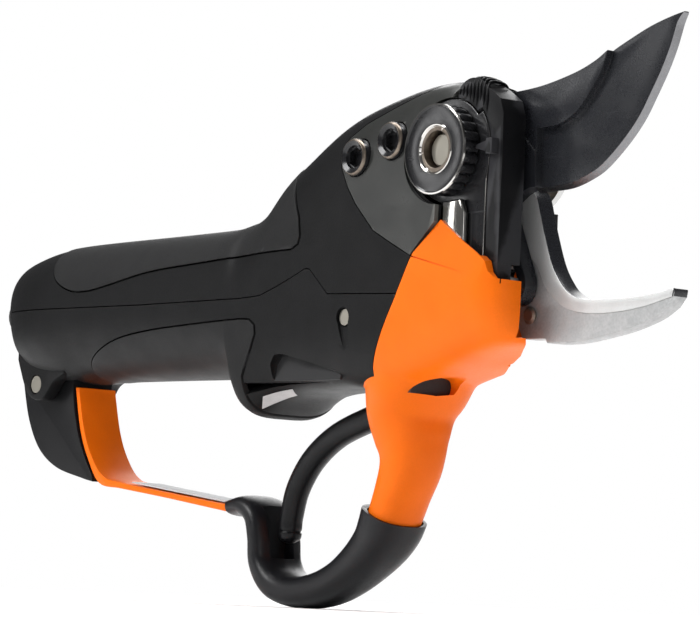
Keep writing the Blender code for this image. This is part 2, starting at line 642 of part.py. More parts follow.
# Counter-blade: bored tang clamped by the head screws, and the hook.
hook_outline = (
    smooth_path((
        (16.6, -9.0), (19.2, -11.8), (20.8, -16.1), (22.8, -21.9), (25.8, -29.3), (29.0, -34.0),
        (32.4, -37.1), (37.4, -39.1), (45.5, -39.5), (53.5, -39.5), (61.4, -39.0), (66.4, -38.4),
        (70.6, -37.6),
    ), 2)
    + [(70.2, -39.6)]
    + smooth_path((
        (68.0, -42.0), (62.5, -44.8), (54.0, -47.2), (45.4, -48.7), (36.7, -49.8), (29.8, -50.1),
        (24.6, -49.9), (24.0, -48.8), (15.2, -48.6), (12.8, -44.0), (12.6, -36.0), (11.6, -28.0),
        (4.0, -17.0),
    ), 2)
    + arc(0, 0, 14.5, -100, -150, 6)
    + [(-18, -5.4), (-41.0, -5.4), (-43.2, -3.0), (-43.2, 6.0), (-41.0, 8.4), (-20.0, 10.6), (-11, 9.6)]
    + arc(0, 0, 14.5, 130, -30, 18)
)
hook = prism("hook", hook_outline, HOOK_NEAR, HOOK_FAR)
combine(hook, [rod("bore", BOLT_R + 0.3, (0, 0, 0), (0, 1, 0), -12, 8, 40)], "DIFFERENCE")
for x, z in HEAD_SCREWS:
    combine(hook, [rod("bore", 2.6, (x, 0, z), (0, 1, 0), -12, 8, 24)], "DIFFERENCE")
combine(hook, [rod("bore", 1.8, (18.4, 0, -42.6), (0, 1, 0), -12, 8, 20)], "DIFFERENCE")
finish(hook, "counter_blade", "ground_steel")
rivet = turned("rivet", ((0, -2.6), (1.6, -2.6), (2.3, -2.1), (2.3, -1.9), (1.5, -1.9), (1.5, 3.4), (0, 3.4)),
               (18.4, 0, -42.6), (0, 1, 0), 20)
finish(rivet, "counter_blade_rivet", "zinc_screw")

# Pivot: bolt, nut, washers and bushes.
bolt = turned("bolt", (
    (0, -18.2), (4.0, -18.2), (4.6, -17.6), (4.6, -15.0), (BOLT_R, -14.6), (BOLT_R, 15.6), (9.0, 15.6),
    (9.0, 19.6), (8.2, 20.6), (0, 20.6),
), (0, 0, 0), (0, 1, 0), 36)
combine(bolt, [rod("hex", 3.9, (0, 0, 0), (0, 1, 0), 17.6, 25, 6)], "DIFFERENCE")
finish(bolt, "pivot_bolt", "zinc_screw", (0, 0, 0))
lobes = []
for i in range(24 * 3):
    t = 2 * math.pi * i / 72
    r = NUT_R - 0.35 + 0.35 * math.cos(24 * t)
    lobes.append((r * math.cos(t), r * math.sin(t)))
nut = prism("nut", lobes, -21.0, -15.8)
combine(nut, [
    rod("bore", 4.9, (0, 0, 0), (0, 1, 0), -30, 0, 36),
    turned("dish", ((0, -21.4), (5.9, -21.4), (5.5, -20.2), (0, -20.2)), (0, 0, 0), (0, 1, 0), 36),
], "DIFFERENCE")
finish(nut, "pivot_nut", "dark_chrome", (0, 0, 0))
plate_outline = (
    arc(0, 0, PLATE_R, 258, 40, 36) + arc(0, 0, LOBE_R, 38, -12, 12)
    + [(14.6, -8), (14.4, -33.2), (-2.4, -33.2)]
)
plate = prism("plate", plate_outline, -15.4, -13.4)
combine(plate, [rod("bore", BOLT_R + 0.3, (0, 0, 0), (0, 1, 0), -30, 0, 36)], "DIFFERENCE")
finish(plate, "pivot_plate", "polished_steel")
bar = prism("bar", (
    (0.2, -13.4), (7.2, -13.0), (8.8, -17.0), (8.8, -32.6), (0.6, -32.6), (0.2, -20)), -17.6, -15.7)
soften(bar, 0.3, 1)
finish(bar, "plate_bar", "polished_steel")
hole_r = BOLT_R + 0.3
washer = tube("washer", hole_r, PLATE_R, (0, 0, 0), (0, 1, 0), 13.4, 15.3, 40)
finish(washer, "pivot_washer", "polished_steel")
near_bush = tube("bush", hole_r, 9.0, (0, 0, 0), (0, 1, 0), -13.1, BLADE_NEAR - 0.3, 32)
finish(near_bush, "pivot_bush_near", "zinc_screw")
far_bush = tube("bush", hole_r, 9.0, (0, 0, 0), (0, 1, 0), HOOK_FAR + 0.3, 13.1, 32)
finish(far_bush, "pivot_bush_far", "zinc_screw")

# Latch that locks the nut: thumb tab, plate and column.
latch_outline = (
    arc(0, 0, 14.1, 80, 44, 8) + arc(0, 0, LOBE_R + 0.3, 42, -14, 12)
    + [(15.0, -12), (15.3, -30.3), (20.0, -30.3), (20.2, -16.5), (20.4, -4), (20.2, 8.5), (18.8, 12.4),
       (15.6, 14.6)]
    + smooth_path((
        (13.2, 16.2), (11.6, 17.9), (9.4, 18.9), (6.8, 19.0), (4.2, 17.9), (2.4, 15.9),
    ), 2)
)
latch = prism("latch", latch_outline, LATCH_NEAR, LATCH_FAR)
tooth = ((17.4, 1.6), (15.6, 1.2), (12.4, 0.4), (12.4, -0.4), (15.6, -1.2), (17.4, -1.6))
eye = [(14.6, -34.6), (19.8, -34.6)] + arc(17.0, -38.5, 3.0, 20, -200, 10)
latch_at = (LATCH_AXIS[0], 0, LATCH_AXIS[1])
combine(latch, [
    prism("tooth", tooth, -17.4, -15.7),
    prism("root", ((18.6, 2.0), (16.3, 2.0), (16.3, -2.0), (18.6, -2.0)), -17.4, LATCH_NEAR + 1.0),
    prism("foot", ((15.3, -29.8), (15.3, -34.9), (19.8, -34.9), (20.0, -29.8)), LATCH_NEAR, -10.4),
    prism("eye", eye, LATCH_NEAR, -10.4),
], "UNION")
combine(latch, [rod("bore", 1.8, latch_at, (0, 1, 0), -30, 0, 20)], "DIFFERENCE")
finish(latch, "latch", "latch_plastic", latch_at)
pin = rod("pin", 1.5, latch_at, (0, 1, 0), -16.2, -10.2, 20)
finish(pin, "latch_pin", "zinc_screw")
combine(cover, [rod("bore", 1.8, latch_at, (0, 1, 0), -16.5, -10, 20)], "DIFFERENCE")

# Drive train on one axis: motor, planetary gear, bearing, ball screw and the yoke that carries the pin.
axis = (0, 0, SCREW_Z)
finish(tube("can", 12.6, 13.8, axis, (1, 0, 0), -172, -121, 32), "motor_can", "motor_can")
shaft = rod("shaft", 1.5, axis, (1, 0, 0), -176, -103.4, 16)
combine(shaft, [rod("core", 9.5, axis, (1, 0, 0), -164, -130, 24)], "UNION")


def gear(name, teeth, tip, root, x0, x1, cy, cz, phase=0.0, slim=0.03):
    """Spur gear about X: teeth with flat tips."""
    bm = bmesh.new()
    outline = []
    for i in range(teeth):
        for frac, r in ((slim - 0.25, root), (slim - 0.13, tip), (0.13 - slim, tip), (0.25 - slim, root)):
            t = 2 * math.pi * (i + frac) / teeth + phase
            outline.append((cy + r * math.cos(t), cz + r * math.sin(t)))
    face = bm.faces.new([bm.verts.new(point(x0, y, z)) for y, z in outline])
    moved = bmesh.ops.extrude_face_region(bm, geom=[face])
    verts = [v for v in moved["geom"] if isinstance(v, bmesh.types.BMVert)]
    bmesh.ops.translate(bm, verts=verts, vec=Vector(((x1 - x0) * 0.001, 0, 0)))
    return new_object(name, bm)


pitch_r = GEAR_MODULE * SUN_TEETH / 2
ring_r = GEAR_MODULE * RING_TEETH / 2
sun = gear("sun", SUN_TEETH, pitch_r + 0.32, pitch_r - 0.42, -113.6, -104.4, 0, SCREW_Z, math.pi / 2)
combine(shaft, [sun], "UNION")
finish(shaft, "motor_rotor", "brass", (-140, 0, SCREW_Z))
housing = tube("housing", 12.6, 13.8, axis, (1, 0, 0), -120.4, -93, 32)
combine(housing, [rod("rim", 13.0, axis, (1, 0, 0), -113, -105, 32)], "UNION")
teeth = gear("teeth", RING_TEETH, ring_r + 0.55, ring_r - 0.3, -114, -104, 0, SCREW_Z, math.pi / 2, 0.0)
combine(housing, [teeth], "DIFFERENCE")
finish(housing, "gearbox_housing", "motor_can")
for i in range(3):
    a = math.radians(90 + 120 * i)
    cy = PLANET_ORBIT * math.cos(a)
    cz = SCREW_Z + PLANET_ORBIT * math.sin(a)
    planet = gear("planet", SUN_TEETH, pitch_r + 0.32, pitch_r - 0.42, -112.6, -105.4, cy, cz, a)
    combine(planet, [rod("bore", 1.8, (0, cy, cz), (1, 0, 0), -120, -100, 16)], "DIFFERENCE")
    finish(planet, "planet_gear_%d" % (i + 1), "brass", (-109, cy, cz))
screw = turned("screw", (
    (0, -23.6), (3.4, -23.6), (3.9, -24.2), (3.9, -84.0), (3.9, -94.0), (11.4, -94.0), (11.4, -101.0),
    (0, -101.0),
), axis, (1, 0, 0), 28)
for i in range(3):
    a = math.radians(90 + 120 * i)
    at = (0, PLANET_ORBIT * math.cos(a), SCREW_Z + PLANET_ORBIT * math.sin(a))
    combine(screw, [rod("stub", 1.5, at, (1, 0, 0), -112.8, -100.5, 14)], "UNION")
finish(screw, "ball_screw", "polished_steel", (-90, 0, SCREW_Z))
finish(tube("bearing", 4.2, 11.0, axis, (1, 0, 0), -92.6, -86, 32), "screw_bearing", "polished_steel")
nut_body = tube("nut_body", 4.3, 9.0, axis, (1, 0, 0), -42, -26, 28)
yoke = prism("yoke", (
    (-40, -40.0), (12, -40.0), (18.6, -38.6), (19.4, -36.0), (18.6, -33.4), (12, -32.0), (-40, -32.0),
), -9.6, -6.6)
combine(nut_body, [yoke], "UNION")
combine(nut_body, [rod("bore", PIN_R, (PIN_X, 0, SCREW_Z), (0, 1, 0), -7.4, 0, 20)], "DIFFERENCE")
finish(nut_body, "screw_nut", "cast_steel")
pin = rod("pin", PIN_R - 0.15, (PIN_X, 0, SCREW_Z), (0, 1, 0), -7.2, BLADE_FAR - 0.1, 20)
finish(pin, "drive_pin", "polished_steel")

# Electrics: control board with two parts, sensor board, cable socket.
board = box("board", -199, -174, -9.5, 9.5, -31.0, -29.6)
finish(board, "control_board", "board_green")
finish(rod("cap", 3.6, (-184, 4.5, -31.3), (0, 0, -1), 0, 9, 20), "board_capacitor", "chip_black")
finish(box("chip", -196, -188, -5, 3, -29.3, -28.0), "board_chip", "chip_black")
sensor = box("sensor", -26.6, -22.4, -3.2, 3.2, -60.2, -59.2)
finish(sensor, "trigger_sensor", "board_green")
socket = rod("socket", 5.9, (0, 0, -34.6), (1, 0, 0), -217, -200, 28)
combine(socket, [rod("well", 4.5, (0, 0, -34.6), (1, 0, 0), -220, -209, 28)], "DIFFERENCE")
for a in (-1.8, 1.8):
    combine(socket, [rod("prong", 0.7, (0, a, -34.6), (1, 0, 0), -215.4, -208.6, 10)], "UNION")
finish(socket, "cable_socket", "chip_black")
combine(upper, [rod("bore", 6.2, (0, 0, -34.6), (1, 0, 0), -230, -205, 32)], "DIFFERENCE")
combine(lower, [rod("bore", 6.2, (0, 0, -34.6), (1, 0, 0), -230, -205, 32)], "DIFFERENCE")

# Casing screw on the right of the lower half.
at = (-37.0, 0, -42.4)
combine(lower, [rod("bore", 2.6, at, (0, 1, 0), -30, -13.0, 24)], "DIFFERENCE")
finish(rod("screw", 2.2, at, (0, 1, 0), -18.4, -14.8, 20), "casing_screw", "zinc_screw")
finish(upper, "upper_casing", "black_plastic")
finish(lower, "lower_casing", "black_plastic")
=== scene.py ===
"""Looks of the powered pruning shears: detailed skins, surface materials, light and camera.

Shapes are drawn in millimetres in the tool frame: origin on the blade pivot, +X forward along the handle,
+Y to the tool's left, +Z up. SHIFT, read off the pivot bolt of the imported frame, carries them into it.
"""
import math

import bmesh
import bpy
from mathutils import Matrix, Vector


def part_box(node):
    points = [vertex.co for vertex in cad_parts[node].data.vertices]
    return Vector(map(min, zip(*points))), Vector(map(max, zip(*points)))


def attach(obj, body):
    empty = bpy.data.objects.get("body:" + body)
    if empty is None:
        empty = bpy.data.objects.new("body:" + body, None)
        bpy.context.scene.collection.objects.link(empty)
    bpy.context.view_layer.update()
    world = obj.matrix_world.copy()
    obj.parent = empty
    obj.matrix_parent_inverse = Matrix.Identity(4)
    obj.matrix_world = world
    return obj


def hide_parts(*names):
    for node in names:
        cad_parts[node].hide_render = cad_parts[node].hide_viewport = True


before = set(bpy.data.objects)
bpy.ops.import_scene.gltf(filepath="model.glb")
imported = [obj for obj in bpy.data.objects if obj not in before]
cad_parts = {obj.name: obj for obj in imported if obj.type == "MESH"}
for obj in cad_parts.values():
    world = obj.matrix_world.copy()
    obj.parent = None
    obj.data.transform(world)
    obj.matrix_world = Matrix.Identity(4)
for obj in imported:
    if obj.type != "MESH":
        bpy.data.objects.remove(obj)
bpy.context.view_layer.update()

bolt_low, bolt_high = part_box("pivot_bolt")
BOLT_Y = -18.2
SHIFT = Vector((
    (bolt_low[0] + bolt_high[0]) * 500,
    bolt_low[1] * 1000 - BOLT_Y,
    (bolt_low[2] + bolt_high[2]) * 500,
))
scene = bpy.context.scene
GAP = 0.3
FILL_STRENGTH = 0.11
FLOOR_HALF = 0.75
HEAD_HOLE_R = 5.35

# ---------------------------------------------------------------------------------------------- materials


def node(tree, kind, **settings):
    """New shader node with its fields and sockets set."""
    made = tree.nodes.new(kind)
    for key, value in settings.items():
        if hasattr(made, key):
            setattr(made, key, value)
        else:
            made.inputs[key.replace("_", " ")].default_value = value
    return made


def ramp(tree, source, low, high, low_value=0.0, high_value=1.0):
    """Straight-line remap of a value, clamped at both ends."""
    made = tree.nodes.new("ShaderNodeMapRange")
    tree.links.new(source, made.inputs["Value"])
    made.inputs["From Min"].default_value = low
    made.inputs["From Max"].default_value = high
    made.inputs["To Min"].default_value = low_value
    made.inputs["To Max"].default_value = high_value
    return made.outputs["Result"]


def noise(tree, coords, size_mm, detail=3.0, stretch=(1, 1, 1)):
    """Noise whose features are about size_mm across."""
    spread = tree.nodes.new("ShaderNodeMapping")
    spread.inputs["Scale"].default_value = [1000.0 / size_mm / s for s in stretch]
    tree.links.new(coords, spread.inputs["Vector"])
    made = tree.nodes.new("ShaderNodeTexNoise")
    made.inputs["Scale"].default_value = 1.0
    made.inputs["Detail"].default_value = detail
    tree.links.new(spread.outputs["Vector"], made.inputs["Vector"])
    return made.outputs["Fac"]


def blend_colour(tree, factor, first, second):
    made = tree.nodes.new("ShaderNodeMix")
    made.data_type = "RGBA"
    tree.links.new(factor, made.inputs[0])
    for slot, colour in ((6, first), (7, second)):
        if isinstance(colour, tuple):
            made.inputs[slot].default_value = (*colour, 1.0)
        else:
            tree.links.new(colour, made.inputs[slot])
    return made.outputs[2]


def add_values(tree, *sources):
    total = sources[0]
    for other in sources[1:]:
        made = tree.nodes.new("ShaderNodeMath")
        made.operation = "ADD"
        tree.links.new(total, made.inputs[0])
        tree.links.new(other, made.inputs[1])
        total = made.outputs[0]
    return total


def surface(
    name, colour, roughness, metallic=0.0, tint=None, mottle=0.12, mottle_size=9.0, grain=0.45,
    grain_depth=0.02, brushed=None, scratches=0.06, worn=None, worn_level=0.58, specular=0.5, spread=0.08,
):
    """Principled surface with uneven colour, grain, fine scratches and rubbed edges.

    Sizes are millimetres. brushed is the direction of the tool marks as stretch factors per axis.
    """
    mat = bpy.data.materials.new(name)
    mat.use_nodes = True
    tree = mat.node_tree
    shader = tree.nodes["Principled BSDF"]
    shader.inputs["Metallic"].default_value = metallic
    shader.inputs["Specular IOR Level"].default_value = specular
    coords = node(tree, "ShaderNodeTexCoord").outputs["Object"]
    patches = noise(tree, coords, mottle_size, 4.0)
    fine = noise(tree, coords, grain, 2.0, brushed or (1, 1, 1))
    marks = noise(tree, coords, 0.9, 1.0, (14, 1, 1) if brushed is None else tuple(4 * s for s in brushed))
    tint = tint or tuple(c * (1 - mottle) for c in colour)
    shade = blend_colour(tree, ramp(tree, patches, 0.35, 0.7), colour, tint)
    shade = blend_colour(
        tree, ramp(tree, fine, 0.3, 0.75, 0.0, 0.5), shade, tuple(c * (1 - mottle) ** 2 for c in colour))
    scratch = ramp(tree, marks, 0.7, 0.76)
    if worn:
        edges = node(tree, "ShaderNodeNewGeometry").outputs["Pointiness"]
        broken = add_values(tree, edges, ramp(tree, patches, 0.3, 0.7, -0.02, 0.02))
        shade = blend_colour(tree, ramp(tree, broken, worn_level, worn_level + 0.05), shade, worn)
    tree.links.new(shade, shader.inputs["Base Color"])
    rough = add_values(
        tree,
        ramp(tree, patches, 0.3, 0.7, roughness - spread / 2, roughness + spread / 2),
        ramp(tree, fine, 0.3, 0.7, -spread / 2, spread / 2),
        ramp(tree, scratch, 0.0, 1.0, 0.0, scratches),
    )
    tree.links.new(rough, shader.inputs["Roughness"])
    bump = node(tree, "ShaderNodeBump", Strength=0.6)
    bump.inputs["Distance"].default_value = grain_depth * 0.001
    tree.links.new(fine, bump.inputs["Height"])
    nicks = node(tree, "ShaderNodeBump", Strength=0.35)
    nicks.inputs["Distance"].default_value = 0.00001
    tree.links.new(scratch, nicks.inputs["Height"])
    tree.links.new(bump.outputs["Normal"], nicks.inputs["Normal"])
    tree.links.new(nicks.outputs["Normal"], shader.inputs["Normal"])
    return mat


casing_black = surface(
    "casing_black", (0.0075, 0.0075, 0.008), 0.44, mottle=0.2, grain=0.42, grain_depth=0.045,
    worn=(0.03, 0.03, 0.031), scratches=0.05, specular=0.13)
grip_black = surface(
    "grip_black", (0.014, 0.014, 0.0145), 0.56, mottle=0.2, grain=0.3, grain_depth=0.06,
    worn=(0.03, 0.03, 0.031), scratches=0.02, specular=0.18)
rubber_black = surface(
    "rubber_black", (0.008, 0.008, 0.010), 0.38, mottle=0.22, mottle_size=5.0, grain=0.7, grain_depth=0.012,
    scratches=0.12, specular=0.3)
arm_black = surface(
    "arm_black", (0.008, 0.008, 0.009), 0.36, mottle=0.15, grain=0.6, grain_depth=0.01, specular=0.16)
latch_black = surface(
    "latch_black", (0.006, 0.006, 0.007), 0.34, mottle=0.2, mottle_size=4.0, grain=0.5, grain_depth=0.012,
    worn=(0.03, 0.03, 0.033), worn_level=0.62, specular=0.2)
orange = surface(
    "orange_moulding", (0.93, 0.165, 0.003), 0.42, tint=(0.87, 0.145, 0.002), mottle=0.06, mottle_size=14.0,
    grain=0.5, grain_depth=0.015, scratches=0.08, specular=0.14)
plate_satin = surface(
    "plate_satin", (0.024, 0.025, 0.023), 0.34, 0.15, tint=(0.019, 0.02, 0.019), mottle=0.14, mottle_size=7.0,
    grain=0.25, grain_depth=0.01, brushed=(1, 1, 1), worn=(0.12, 0.12, 0.11))
polished = surface(
    "polished_steel", (0.72, 0.70, 0.67), 0.11, 1.0, mottle=0.1, mottle_size=5.0, grain=0.25,
    grain_depth=0.004, brushed=(1, 1, 12), scratches=0.16, spread=0.06)
ground = surface(
    "ground_steel", (0.66, 0.665, 0.66), 0.42, 0.55, mottle=0.1, mottle_size=6.0, grain=0.22,
    grain_depth=0.01, brushed=(1, 18, 1), scratches=0.12)
cast = surface(
    "cast_steel", (0.5, 0.505, 0.505), 0.5, 0.5, tint=(0.42, 0.425, 0.43), mottle=0.2, mottle_size=2.5,
    grain=0.7, grain_depth=0.07, scratches=0.05, spread=0.14)
# Dark blade coating; the same colour on the end faces of the hook's tip is painted shade.
coat_and_painted_shade = surface(
    "blade_coating_and_painted_shade", (0.016, 0.017, 0.021), 0.28, 0.15, mottle=0.14, mottle_size=8.0, grain=0.3,
    grain_depth=0.008, scratches=0.1, worn=(0.06, 0.06, 0.065), worn_level=0.64)
edge_steel = surface(
    "edge_steel", (0.26, 0.26, 0.27), 0.3, 1.0, mottle=0.1, mottle_size=3.0, grain=0.2, grain_depth=0.01,
    brushed=(1, 1, 10), scratches=0.1)
# Dark plating of the nut and screw heads; on the adjuster plate around the nut the same colour is a painted
# shadow and painted reflection of the nut.
dark_plating_and_painted_shade = surface(
    "dark_plating_and_painted_shade", (0.02, 0.02, 0.022), 0.2, 0.2, mottle=0.2, mottle_size=4.0, grain=0.3, grain_depth=0.006,
    scratches=0.15)
zinc = surface(
    "zinc_screw", (0.26, 0.22, 0.18), 0.36, 1.0, tint=(0.16, 0.13, 0.11), mottle=0.2, mottle_size=2.0,
    grain=0.3, grain_depth=0.015, worn=(0.75, 0.7, 0.64), worn_level=0.6)
surface("machined_brass", (0.68, 0.47, 0.18), 0.28, 1.0, mottle=0.15, grain=0.3, brushed=(10, 1, 1))
surface("motor_steel", (0.22, 0.22, 0.24), 0.34, 0.9, mottle=0.15, grain=0.4, brushed=(8, 1, 1))
surface("board_green", (0.015, 0.13, 0.055), 0.42, mottle=0.25, mottle_size=3.0, grain=0.6)
surface("chip_black", (0.02, 0.02, 0.021), 0.48, mottle=0.2, grain=0.35, grain_depth=0.02)
label_grey = surface(
    "label_grey", (0.6, 0.6, 0.6), 0.42, tint=(0.52, 0.52, 0.525), mottle=0.12, mottle_size=3.0, grain=0.5,
    grain_depth=0.006)
surface("nickel", (0.55, 0.53, 0.5), 0.22, 1.0, mottle=0.1, grain=0.3)
# Flat dark colour for the slab inside the vent: painted shade of the vent's inside.
vent_painted_shade = surface("vent_painted_shade", (0.012, 0.012, 0.013), 0.6, mottle=0.2, grain=0.6)

CAD_FINISH = {
    "casing_black": ("upper_casing", "lower_casing"),
    "grip_black": ("grip_pad_top", "grip_pad_bottom"),
    "rubber_black": ("finger_ring",),
    "arm_black": ("guard_arm",),
    "latch_black": ("latch", "trigger"),
    "orange_moulding": ("front_cover", "guard_strip"),
    "plate_satin": ("side_plate_left", "side_plate_right"),
    "polished_steel": (
        "pivot_plate", "plate_bar", "pivot_washer", "ball_screw", "drive_pin", "screw_bearing"),
    "ground_steel": ("counter_blade",),
    "cast_steel": ("screw_nut",),
    "blade_coating_and_painted_shade": ("blade",),
    "dark_plating_and_painted_shade": ("pivot_nut",),
    "zinc_screw": (
        "pivot_bolt", "pivot_bush_near", "pivot_bush_far", "head_screw_1", "head_screw_2", "head_screw_nut_1",
        "head_screw_nut_2", "head_sleeve_far_1", "head_sleeve_far_2", "head_sleeve_near_1",
        "head_sleeve_near_2",
        "guard_screw", "casing_screw", "counter_blade_rivet", "latch_pin", "trigger_pin"),
    "machined_brass": ("motor_rotor", "planet_gear_1", "planet_gear_2", "planet_gear_3"),
    "motor_steel": ("motor_can", "gearbox_housing"),
    "board_green": ("control_board", "trigger_sensor"),
    "chip_black": ("board_chip", "board_capacitor", "cable_socket"),
    "label_grey": ("strip_label",),
    "nickel": ("trigger_magnet",),
}
for finish_name, nodes in CAD_FINISH.items():
    for name in nodes:
        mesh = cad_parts[name].data
        mesh.materials.clear()
        mesh.materials.append(bpy.data.materials[finish_name])

# ------------------------------------------------------------------------------------------------- shapes

# Body sections along X: top, bottom, half width, and squareness of the upper and lower half.
TOP = (
    (-216, -28.0), (-214.5, -24.0), (-212, -21.4), (-208, -19.4), (-199, -17.4), (-185, -15.4),
    (-170, -14.7), (-128, -14.3), (-104, -14.0), (-98, -13.8), (-92, -13.0), (-86, -11.5),
    (-78, -7.5), (-70, 0.0), (-61, 5.6), (-50, 11.6), (-40, 15.2), (-23, 18.7), (-12, 20.0),
    (-4, 20.0), (6, 17.5), (24, 14.0),
)
BOTTOM = (
    (-216, -32.5), (-214.6, -39.0), (-210, -46.0), (-204, -51.5), (-195, -55.4), (-180, -56.6),
    (-160, -55.6), (-103, -56.0), (-92.4, -56.2), (-89.6, -57.6), (-88.2, -62.0), (-86.8, -66.2),
    (-84.8, -67.8), (-81.6, -66.9), (-78, -64.8), (-73, -62.6), (-66, -61.3), (-58, -60.7),
    (-48, -60.3), (-36, -61.0), (-24, -61.4), (-9, -58.0), (6, -54.2), (17, -51.6), (24, -50.4),
)
HALF = (
    (-216, 2.6), (-214.8, 5.6), (-212, 8.6), (-208, 11.4), (-202, 14.6), (-192, 17.6), (-178, 19.2),
    (0, 19.4), (14, 19.2), (18.5, 18.2), (21.5, 16.2), (23.2, 13.6), (24, 11.0),
)
SQUARE = (
    (-216, 2.2), (-180, 2.4), (-110, 2.4), (-84, 2.6), (-60, 2.8), (-30, 3.2), (0, 3.6), (24, 4.2),
)
SQUARE_LOW = (
    (-216, 2.2), (-180, 2.4), (-110, 2.4), (-95, 2.8), (-84, 3.6), (-60, 4.2), (-30, 4.6),
    (24, 4.6),
)
SEAM = (
    (-226, -34.4), (-130, -35.6), (-82, -35.6), (-73.5, -35.2), (-66, -33.0), (-59, -30.6),
    (-53.6, -28.6), (-51.6, -28.9), (-47.6, -32.4), (-43.7, -35.9), (-30, -36.4),
)
COVER_EDGE = (
    (-28.4, -62.8), (-26.6, -56.4), (-20.8, -46.4), (-15.9, -38.7), (-9.0, -26.6), (0.5, -18.3),
)
COVER_FRONT = (
    (4.6, -21.0), (9.5, -24.2), (14.7, -27.3), (18.3, -29.8), (19.2, -32.6), (21.0, -34.3),
    (24.4, -34.8), (40, -35.2),
)
PLATE_EDGE = (
    (-3.0, 22.0), (-12.0, 17.4), (-34.7, 9.9), (-40.6, 6.4), (-42.4, 2.6), (-41.0, -1.6),
    (-37.0, -7.4), (-33.3, -12.0), (-25.3, -19.7), (-17.3, -23.6), (-10.0, -27.0), (-0.6, -18.7),
    (-0.2, 22.0),
)
HEAD_SCREWS = ((-34.2, 0.4), (-19.4, 3.8))
POCKET_R = 14.2
PLATE_R = 13.7
LOBE_R = 15.6
NUT_R = 12.0
BOLT_R = 5.0
WALL = 3.0
PANEL = 1.3
PAD_RISE = 0.3
PAD_GROOVE = 0.55
RING = 72
BODY_X = (
    [-216, -215.2, -214.2, -213, -211.4, -209.6, -207.4, -204.6, -201.6, -198]
    + [-194 + 4 * i for i in range(23)]
    + [-103.4, -100, -97.4, -95.4, -93.6, -92.2, -91.2, -90.2, -89.2, -88.2, -87.2, -86, -84.6, -83, -81]
    + [-78.6 + 2.6 * i for i in range(36)]
    + [15.4, 17.4, 19, 20.4, 21.6, 22.6, 23.4, 24]
)
INNER_X = [-208, -203, -197, -180, -150, -115, -98, -87.6, -82.6, -76, -62, -45, -25, 0, 21]


def point(x, y, z):
    return (Vector((x, y, z)) + SHIFT) * 0.001


def curve_value(table, x):
    """Smooth value of a station table at x."""
    if x <= table[0][0]:
        return table[0][1]
    for i in range(len(table) - 1):
        x0, v0 = table[i]
        x1, v1 = table[i + 1]
        if x <= x1:
            before = table[max(i - 1, 0)]
            after = table[min(i + 2, len(table) - 1)]
            m0 = (v1 - before[1]) / max(x1 - before[0], 1e-6)
            m1 = (after[1] - v0) / max(after[0] - x0, 1e-6)
            secant = (v1 - v0) / (x1 - x0)
            m0 = max(min(m0, 3 * abs(secant)), -3 * abs(secant)) if secant * m0 > 0 else 0.0
            m1 = max(min(m1, 3 * abs(secant)), -3 * abs(secant)) if secant * m1 > 0 else 0.0
            h = x1 - x0
            t = (x - x0) / h
            return (
                v0 * (1 + 2 * t) * (1 - t) ** 2 + m0 * h * t * (1 - t) ** 2
                + v1 * t * t * (3 - 2 * t) + m1 * h * t * t * (t - 1)
            )
    return table[-1][1]


def smooth_path(keys, steps):
    """Catmull-Rom curve through keys of any width."""
    out = []
    for i in range(len(keys) - 1):
        p0 = keys[max(i - 1, 0)]
        p1 = keys[i]
        p2 = keys[i + 1]
        p3 = keys[min(i + 2, len(keys) - 1)]
        for s in range(steps):
            t = s / steps
            out.append(tuple(
                0.5 * (2 * b + (c - a) * t + (2 * a - 5 * b + 4 * c - d) * t * t
                       + (3 * b - a - 3 * c + d) * t ** 3)
                for a, b, c, d in zip(p0, p1, p2, p3)
            ))
    out.append(tuple(keys[-1]))
    return out


def arc(cx, cz, r, start, end, steps):
    """Points on an arc in the XZ plane, angles in degrees from +X towards +Z."""
    return [
        (cx + r * math.cos(math.radians(start + (end - start) * i / steps)),
         cz + r * math.sin(math.radians(start + (end - start) * i / steps)))
        for i in range(steps + 1)
    ]


def shifted(points, dx, dz):
    return [(x + dx, z + dz) for x, z in points]


def new_object(name, bm):
    bmesh.ops.remove_doubles(bm, verts=bm.verts, dist=1e-6)
    bmesh.ops.recalc_face_normals(bm, faces=bm.faces)
    mesh = bpy.data.meshes.new(name)
    bm.to_mesh(mesh)
    bm.free()
    obj = bpy.data.objects.new(name, mesh)
    scene.collection.objects.link(obj)
    return obj


def rings_to_bmesh(rings):
    """Skin of quads over closed rings, with a flat cap at each end."""
    bm = bmesh.new()
    rows = [[bm.verts.new(p) for p in ring] for ring in rings]
    count = len(rings[0])
    for low, high in zip(rows, rows[1:]):
        for i in range(count):
            bm.faces.new((low[i], low[(i + 1) % count], high[(i + 1) % count], high[i]))
    bm.faces.new(rows[0])
    bm.faces.new(rows[-1])
    return bm


def superellipse(half_a, half_b, power, count, low_power=None):
    """Ring points of a rounded rectangle, evenly spread in angle; the lower half may be squarer."""
    out = []
    for i in range(count):
        t = 2 * math.pi * (i + 0.5) / count
        c = math.cos(t)
        s = math.sin(t)
        bend = 2 / (low_power if low_power and s < 0 else power)
        out.append((
            half_a * math.copysign(abs(c) ** bend, c),
            half_b * math.copysign(abs(s) ** bend, s),
        ))
    return out


def body_stations(name, inset, xs, count):
    rings = []
    for x in xs:
        top = curve_value(TOP, x) - inset
        low = curve_value(BOTTOM, x) + inset
        half = curve_value(HALF, x) - inset
        mid = (top + low) / 2
        power = curve_value(SQUARE, x)
        low_power = curve_value(SQUARE_LOW, x)
        section = superellipse(half, (top - low) / 2, power, count, low_power)
        rings.append([point(x, y, mid + z) for y, z in section])
    return new_object(name, rings_to_bmesh(rings))


